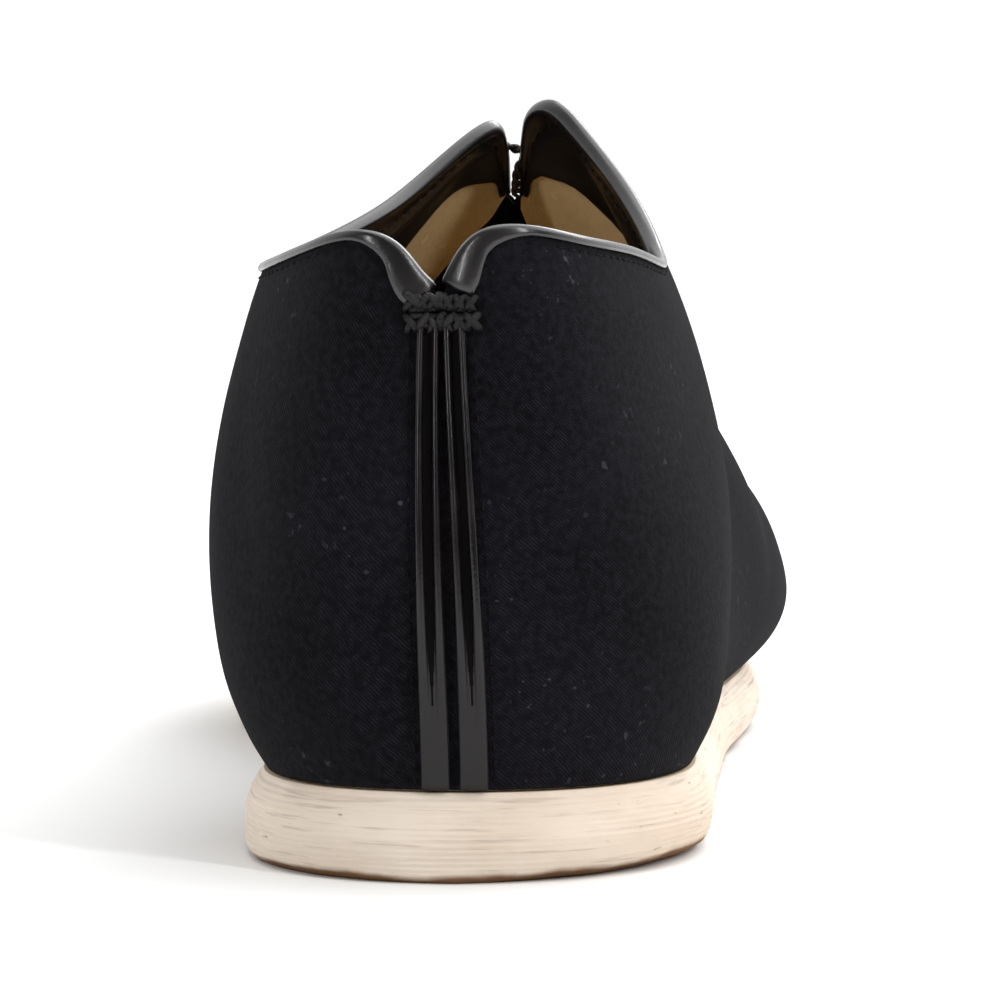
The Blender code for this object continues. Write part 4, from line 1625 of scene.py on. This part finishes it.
@dataclass
class SeamStrips:
    """The leather strips beside the heel seam and the vamp seam, with a cord in each edge."""

    skin: Skin
    finishes: Finishes
    girth: float = 0.01
    heel_width: float = 0.0037
    vamp_width: float = 0.0040
    seam_gap: float = 0.0014
    bartack_height: float = 0.0037
    stitches: list[list[Spot]] = field(default_factory=list)

    def build(self) -> None:
        """Builds the four strips and the stitches beside them."""
        for side in Side:
            self._heel_strip(side)
            self._vamp_strip(side)
        bm = bmesh.new()
        for row in self.stitches:
            add_stitches(bm, row, pitch=0.0024, length=0.0018, width=0.00032)
        finish_piece("seam_stitches", bm, [self.finishes.stitch])

    def _strip(self, name: str, lines: list[list[Spot]], corded: np.ndarray) -> None:
        """Lofts a strip.

        Args:
            name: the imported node's name.
            lines: for each station, a place and outward direction for each row of the section.
            corded: at each station, 0 where the strip is flat and 1 where its edges are corded.
        """
        last = self.skin.last
        rows = PIPING_SECTION + PIPING_BACK
        rings = []
        for line, share in zip(lines, corded):
            ring = []
            for (place, normal), row in zip(line, rows):
                height = row.flat + (row.piped - row.flat) * share
                ring.append(place + normal * (last.gap + height * last.strip))
            rings.append(ring)
        rings = np.array(rings)
        bm = bmesh.new()
        middle = rings[:, len(PIPING_SECTION) // 2]
        # Faces in the groove between the cords take the second leather, whose darker colour is
        # painted shade.
        kinds = np.zeros((rings.shape[0] - 1, rings.shape[1]), int)
        for k, row in enumerate(rows):
            off = abs(row.place - 0.5)
            if off < 0.145 and row.flat > 0:
                kinds[corded[1:] > 0.12 + 4.0 * off, k] = 1
        add_loft(bm, rings, walk(middle), self.girth, kinds)
        materials = [self.finishes.corded, self.finishes.channel]
        finish_piece(name + "_leather", bm, materials, [name])

    def _heel_strip(self, side: Side) -> None:
        """Builds the strip beside the back seam, from the sole up to the bartack.

        Args:
            side: which half.
        """
        last = self.skin.last
        seam = self.skin.points[Side.LATERAL][0]
        top = last.back_height - last.notch_depth - self.bartack_height - 2 * last.gap
        heights = np.linspace(seam[0, 2] + 1.5 * last.gap, top + 0.0008, 72)
        rise = (heights - heights[0]) / (heights[-1] - heights[0])
        width = self.heel_width * spline((0, 0.5, 1), (1.08, 1.00, 0.83), rise)
        start = self.seam_gap * spline((0, 0.5, 1), (0.45, 0.54, 0.36), rise)
        middle = np.interp(heights, seam[:, 2], seam[:, 0])
        lines, beside = [], []
        for i, height in enumerate(heights):
            line = []
            for row in PIPING_SECTION + PIPING_BACK:
                x = middle[i] + side.value * (start[i] + row.place * width[i])
                line.append(self.skin.strike((x, -last.heel_centre, height), (0, 1, 0)))
            lines.append(line)
            x = middle[i] + side.value * (start[i] + width[i] + SEWN_OFF)
            beside.append(self.skin.strike((x, -last.heel_centre, height), (0, 1, 0)))
        self._strip("heel_strip_" + side.label, lines, smooth_step(heights, 0.018, 0.044))
        self.stitches.append(beside)

    def _vamp_strip(self, side: Side) -> None:
        """Builds the strip beside the vamp's seam, from the slit to the sole.

        Args:
            side: which half.
        """
        last, skin = self.skin.last, self.skin
        ridge = skin.points[Side.LATERAL][skin.throat :, -1]
        front = skin.points[Side.LATERAL][-1][-2::-1]
        seam = np.concatenate([ridge, front])
        walked = walk(seam)
        even = np.linspace(0, walked[-1], 150)
        seam = read_line(even, walked, seam)
        path = unit(np.gradient(seam, axis=0))
        inward = unit(np.cross(path, (1, 0, 0)))
        seam[0] += path[0] * 0.5 * self.seam_gap
        seam[-1] -= path[-1] * 2 * last.gap
        lines, beside = [], []
        for place, into in zip(seam, inward):
            line = []
            for row in PIPING_SECTION + PIPING_BACK:
                x = side.value * (0.5 * self.seam_gap + row.place * self.vamp_width)
                line.append(skin.strike(place + (x, 0, 0), into))
            lines.append(line)
            x = side.value * (0.5 * self.seam_gap + self.vamp_width + SEWN_OFF)
            beside.append(skin.strike(place + (x, 0, 0), into))
        self._strip("vamp_strip_" + side.label, lines, np.ones(len(lines)))
        self.stitches.append(beside)


@dataclass
class HeelBartack:
    """The bar of thick thread that ties the halves at the foot of the notch."""

    skin: Skin
    finishes: Finishes
    width: float = 0.0094
    height: float = 0.0053
    thread: float = 0.00054

    def build(self) -> None:
        """Builds two rows of slanting wraps over a core."""
        last = self.skin.last
        top = self.skin.points[Side.LATERAL][0][-1]
        bm = bmesh.new()
        middle_z = top[2] + 0.0003 - 0.5 * self.height
        for row, lean in ((0.26, 1.0), (-0.26, -1.0), (0.26, -0.9), (-0.26, 0.8)):
            for k, share in enumerate(np.linspace(-0.92, 0.92, 7)):
                wobble = 2.2 * noise.noise(Vector((share * 9, row * 7, lean * 3)))
                x = top[0] + 0.5 * self.width * (share + 0.05 * wobble)
                z = middle_z + row * self.height + 0.00035 * wobble
                slant = lean * (0.0007 + 0.0004 * wobble)
                path = []
                for t in np.linspace(-1, 1, 9):
                    place, normal = self._on_cloth(x + slant * t, z + 0.00095 * t)
                    rise = last.gap + 0.0001 + 0.0011 * max(1 - t * t, 0.0) ** 0.5
                    path.append(place + normal * (rise + 0.00025 * wobble))
                radius = self.thread * (1 + 0.22 * wobble)
                ends = np.array([0.7, 0.95, 1, 1, 1, 1, 1, 0.95, 0.7])
                add_strand(bm, np.array(path), radius * ends)
        for row in (-0.36, -0.12, 0.12, 0.36):
            path = []
            for share in np.linspace(-0.96, 0.96, 25):
                x = top[0] + 0.5 * self.width * share
                z = middle_z + row * self.height * (1 - 0.25 * abs(share))
                place, normal = self._on_cloth(x, z)
                path.append(place + normal * (last.gap + 0.0006))
            add_strand(bm, np.array(path), 0.00052)
        threads = [self.finishes.thread]
        finish_piece("heel_bartack_thread", bm, threads, ["heel_bartack"])

    def _on_cloth(self, x: float, z: float) -> Spot:
        """Finds a place on the cloth behind the heel, or above the notch on the binding's ends.

        Args:
            x: how far across.
            z: the height.

        Returns:
            The place, and the outward direction there.
        """
        highest = self.skin.points[Side.LATERAL][0][-1][2] - 0.0006
        start = (x, -self.skin.last.heel_centre, min(z, highest))
        place, normal = self.skin.strike(start, (0, 1, 0))
        over = max(z - highest, 0.0)
        return place + np.array([0, -0.25 * over, over]), normal


@dataclass
class ThroatTie:
    """The short cord that holds the two halves together across the slit."""

    skin: Skin
    finishes: Finishes
    diameter: float = 0.0016

    def build(self) -> None:
        """Builds a two-ply cord over the slit, with one end tucked down the lateral edge."""
        skin, last = self.skin, self.skin.last
        i = int(np.argmin(np.abs(skin.stations - (THROAT_ROW - 2))))
        edges = {side: skin.points[side][i, -1] for side in Side}
        across = unit(edges[Side.LATERAL] - edges[Side.MEDIAL])
        lift = 2 * last.gap + last.strip + 0.5 * self.diameter
        centres = []
        for share in (1.0, 0.6, 0.2):
            start = edges[Side.MEDIAL] - across * 0.0018 * share
            place, normal = skin.nearest(skin.outer, start)
            centres.append(place + normal * lift)
        edge = skin.points[Side.LATERAL][:, -1]
        inside = -skin.normals[Side.LATERAL][:, -1]
        centres.append(0.5 * (edges[Side.MEDIAL] + edges[Side.LATERAL]) + (0, 0, 0.0006))
        for station, into, deep in (
            (12.0, 0.2, 0.2),
            (12.25, 0.9, 0.9),
            (12.6, 1.1, 1.3),
            (13.0, 1.1, 1.3),
        ):
            j = int(np.argmin(np.abs(skin.stations - station)))
            centres.append(edge[j] - across * 0.001 * into + inside[j] * 0.0018 * deep)
        walked = np.linspace(0, 1, len(centres))
        fine = np.linspace(0, 1, 90)
        line = np.stack([spline(walked, column, fine) for column in np.array(centres).T], axis=1)
        ahead = unit(np.gradient(line, axis=0))
        beside = unit(np.cross(ahead, (0, 1, 0.3)))
        over = np.cross(beside, ahead)
        ends = np.minimum(1, 0.55 + 8 * np.minimum(fine, 1 - fine))
        bm = bmesh.new()
        for ply in (0.0, math.pi):
            turn = (fine * 14 * math.pi + ply)[:, None]
            path = line + 0.24 * self.diameter * (np.cos(turn) * beside + np.sin(turn) * over)
            add_strand(bm, path, 0.27 * self.diameter * ends)
        finish_piece("throat_tie_cord", bm, [self.finishes.cord], ["throat_tie"])


class EdgeRow(NamedTuple):
    """A level of the sole's edge: share of its thickness, inset, and how much wear reaches it."""

    height: float
    inset: float
    worn: float


SOLE_EDGE = (
    EdgeRow(0.00, 0.80, 1.00),
    EdgeRow(0.08, 0.36, 0.70),
    EdgeRow(0.24, 0.10, 0.25),
    EdgeRow(0.48, 0.00, 0.00),
    EdgeRow(0.72, 0.25, 0.00),
    EdgeRow(0.90, 0.68, 0.00),
    EdgeRow(1.00, 1.00, 0.00),
)


@dataclass
class LayeredSole:
    """Many layers of cotton cloth, stitched together and cut round, with a chalked edge."""

    last: Last
    finishes: Finishes
    columns: int = 300
    half_outline: float = 0.335
    layers: int = 15
    groove: float = 0.00016

    def build(self) -> None:
        """Builds the sole as rings round it from heel to toe."""
        last = self.last
        shares = 0.5 - 0.5 * np.cos(np.linspace(0, np.pi, self.columns))
        shares = 0.5 * shares + 0.5 * np.linspace(0, 1, self.columns)
        levels = np.linspace(0, 1, 4 * self.layers + 1)
        edges = {side: self._edge(side, shares, levels) for side in Side}
        y = edges[Side.LATERAL][:, 0, 1]
        up = levels[None, :] * (last.sole_top(y) - last.sole_bottom(y))[:, None]
        walked = np.broadcast_to(shares[:, None] * self.half_outline, up.shape)
        bm = bmesh.new()
        uvs = {side: np.stack([side.value * walked, up], axis=2) for side in Side}
        add_pad(bm, edges, uvs, 22, 1)
        materials = [self.finishes.edge, self.finishes.under]
        finish_piece("sole_layers", bm, materials, ["sole"])

    def _edge(self, side: Side, shares: np.ndarray, levels: np.ndarray) -> np.ndarray:
        """Works out the edge of one side.

        Args:
            side: which side.
            shares: places along the half outline.
            levels: shares of the sole's thickness.

        Returns:
            A grid of points from heel to toe and from the floor up.
        """
        last = self.last
        heights = [row.height for row in SOLE_EDGE]
        inset = spline(heights, [row.inset for row in SOLE_EDGE], levels)
        worn = read_rows(levels, SOLE_EDGE, "height", "worn")
        wear = read_rows(shares, EDGE_WEAR, "share", side.label)
        columns = []
        for k in range(len(levels)):
            worn_in = (inset[k] + worn[k] * wear) * last.edge_bulge
            flat, facing = last.half_outline(side, shares, worn_in)
            low, high = last.sole_bottom(flat[:, 1]), last.sole_top(flat[:, 1])
            points = np.column_stack([flat, low + levels[k] * (high - low)])
            out = np.column_stack([facing, np.zeros(len(facing))])
            deep = abs(math.sin(math.pi * self.layers * levels[k])) ** 0.6
            inside = 1 - float(smooth_step(levels[k], 0.97, 1.0))
            rough = 0.00012 * soft_noise(points * (1, 1, 6), 0.006, 3.7)
            slow = 0.00022 * soft_noise(points * (1, 1, 0.3), 0.012, 8.1)
            ragged = 1 + 1.2 * soft_noise(points * (1, 1, 4), 0.015, 5.5)
            ragged = self.groove * (deep - 1) * ragged
            columns.append(points + out * ((rough + ragged + slow) * inside)[:, None])
        grid = np.stack(columns, axis=1)
        grid[:, 0, 2] = last.sole_bottom(grid[:, 0, 1])
        return grid


@dataclass
class Insole:
    """The thin padded insole, cut a little smaller than the sole."""

    last: Last
    finishes: Finishes
    thickness: float = 0.0030
    inset: float = 0.0042

    def build(self) -> None:
        """Builds it as rings round it from heel to toe."""
        last = self.last
        shares = np.linspace(0, 1, 150)
        rows = ((0.02, 0.0), (0.0, 0.0), (0.0, 0.7), (0.06, 0.86), (0.20, 0.96), (0.5, 1.0))
        grids = {}
        for side in Side:
            levels = []
            for inset, height in rows:
                deep = last.edge_bulge + self.inset + inset * self.thickness
                flat, _ = last.half_outline(side, shares, deep)
                z = last.sole_top(flat[:, 1]) + last.gap + height * self.thickness
                levels.append(np.column_stack([flat, z]))
            grids[side] = np.stack(levels, axis=1)
        bm = bmesh.new()
        add_pad(bm, grids, {side: grid[..., :2] for side, grid in grids.items()}, 14, 0)
        finish_piece("insole_canvas", bm, [self.finishes.insole], ["insole"])


@dataclass(frozen=True)
class Studio:
    """A pale floor, soft lights, and the camera behind the heel at the photo's angle."""

    camera_place: tuple[float, float, float] = (0.0257, -0.7354, 0.1055)
    aim_turn: float = 1.75
    aim_down: float = 4.25
    lens: float = 184.0

    def build(self) -> None:
        """Builds them."""
        self._floor()
        self._lights()
        camera = bpy.data.cameras.new("camera")
        camera.lens = self.lens
        camera.sensor_width = 36.0
        camera.clip_start = 0.01
        holder = bpy.data.objects.new("camera", camera)
        turn, down = math.radians(self.aim_turn), math.radians(self.aim_down)
        ahead = Vector(
            (-math.sin(turn) * math.cos(down), math.cos(turn) * math.cos(down), -math.sin(down))
        )
        holder.rotation_euler = ahead.to_track_quat("-Z", "Y").to_euler()
        holder.location = self.camera_place
        bpy.context.scene.collection.objects.link(holder)
        bpy.context.scene.camera = holder

    def _floor(self) -> None:
        """A wide pale floor."""
        bm = bmesh.new()
        bmesh.ops.create_grid(bm, x_segments=4, y_segments=4, size=40.0)
        mesh = bpy.data.meshes.new("floor")
        bm.to_mesh(mesh)
        bm.free()
        material, tree = new_material("pale_matte_floor")
        paper = {"Base Color": linear("#f4f4f3"), "Roughness": 0.9, "Specular IOR Level": 0.1}
        add_node(tree, "OutputMaterial", {"Surface": add_node(tree, "BsdfPrincipled", paper)})
        mesh.materials.append(material)
        floor = bpy.data.objects.new("floor", mesh)
        bpy.context.scene.collection.objects.link(floor)

    def _lights(self) -> None:
        """A room that is white before the camera and dim behind it, and four soft lights."""
        world = bpy.data.worlds.new("studio")
        world.use_nodes = True
        tree = world.node_tree
        room = add_node(tree, "TexCoord", {}, "Generated")
        along = add_node(tree, "SeparateXYZ", {"Vector": room}, "Y")
        glow = {"Value": along, "From Min": -0.35, "From Max": 0.30, "To Min": 0.14, "To Max": 1.02}
        ahead = add_node(tree, "MapRange", glow, interpolation_type="SMOOTHSTEP")
        tree.links.new(ahead, tree.nodes["Background"].inputs["Strength"])
        tree.nodes["Background"].inputs["Color"].default_value = (1.0, 1.0, 1.0, 1.0)
        bpy.context.scene.world = world
        bpy.context.scene.view_settings.view_transform = "Standard"
        sun = bpy.data.lights.new("over", "SUN")
        sun.energy = 2.4
        sun.angle = math.radians(80)
        self._hang(sun, (0.5, 0.35, 1.4))
        for name, place, width, height, radiance in (
            ("right", (0.85, -0.75, 0.75), 0.06, 0.8, 38.0),
            ("left", (-0.75, -0.95, 0.60), 0.045, 0.7, 38.0),
            ("behind", (0.55, 1.10, 0.80), 0.9, 0.4, 5.0),
        ):
            light = bpy.data.lights.new(name, "AREA")
            light.shape = "RECTANGLE"
            light.size = width
            light.size_y = height
            light.energy = radiance * math.pi * width * height
            self._hang(light, place)

    def _hang(self, light: bpy.types.Light, place: tuple[float, float, float]) -> None:
        """Hangs a light, aimed at the shoe.

        Args:
            light: the light.
            place: where it hangs.
        """
        holder = bpy.data.objects.new(light.name, light)
        holder.location = place
        ahead = Vector((0.0, 0.09, 0.05)) - Vector(place)
        holder.rotation_euler = ahead.to_track_quat("-Z", "Y").to_euler()
        bpy.context.scene.collection.objects.link(holder)


def main() -> None:
    """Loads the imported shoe, dresses it and sets the studio."""
    logging.basicConfig(level=logging.INFO, format="%(name)s: %(message)s")
    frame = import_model()
    LOG.info("packed nodes: %s", ", ".join(sorted(frame["nodes"])))
    last = Last()
    skin = Skin(last, FOLDS)
    finishes = Finishes()
    for part in (
        LayeredSole(last, finishes),
        Insole(last, finishes),
        Upper(skin, finishes),
        CollarBinding(skin, finishes),
        SeamStrips(skin, finishes),
        HeelBartack(skin, finishes),
        ThroatTie(skin, finishes),
    ):
        LOG.info("building %s", type(part).__name__)
        part.build()
    Studio().build()


if __name__ == "__main__":
    main()
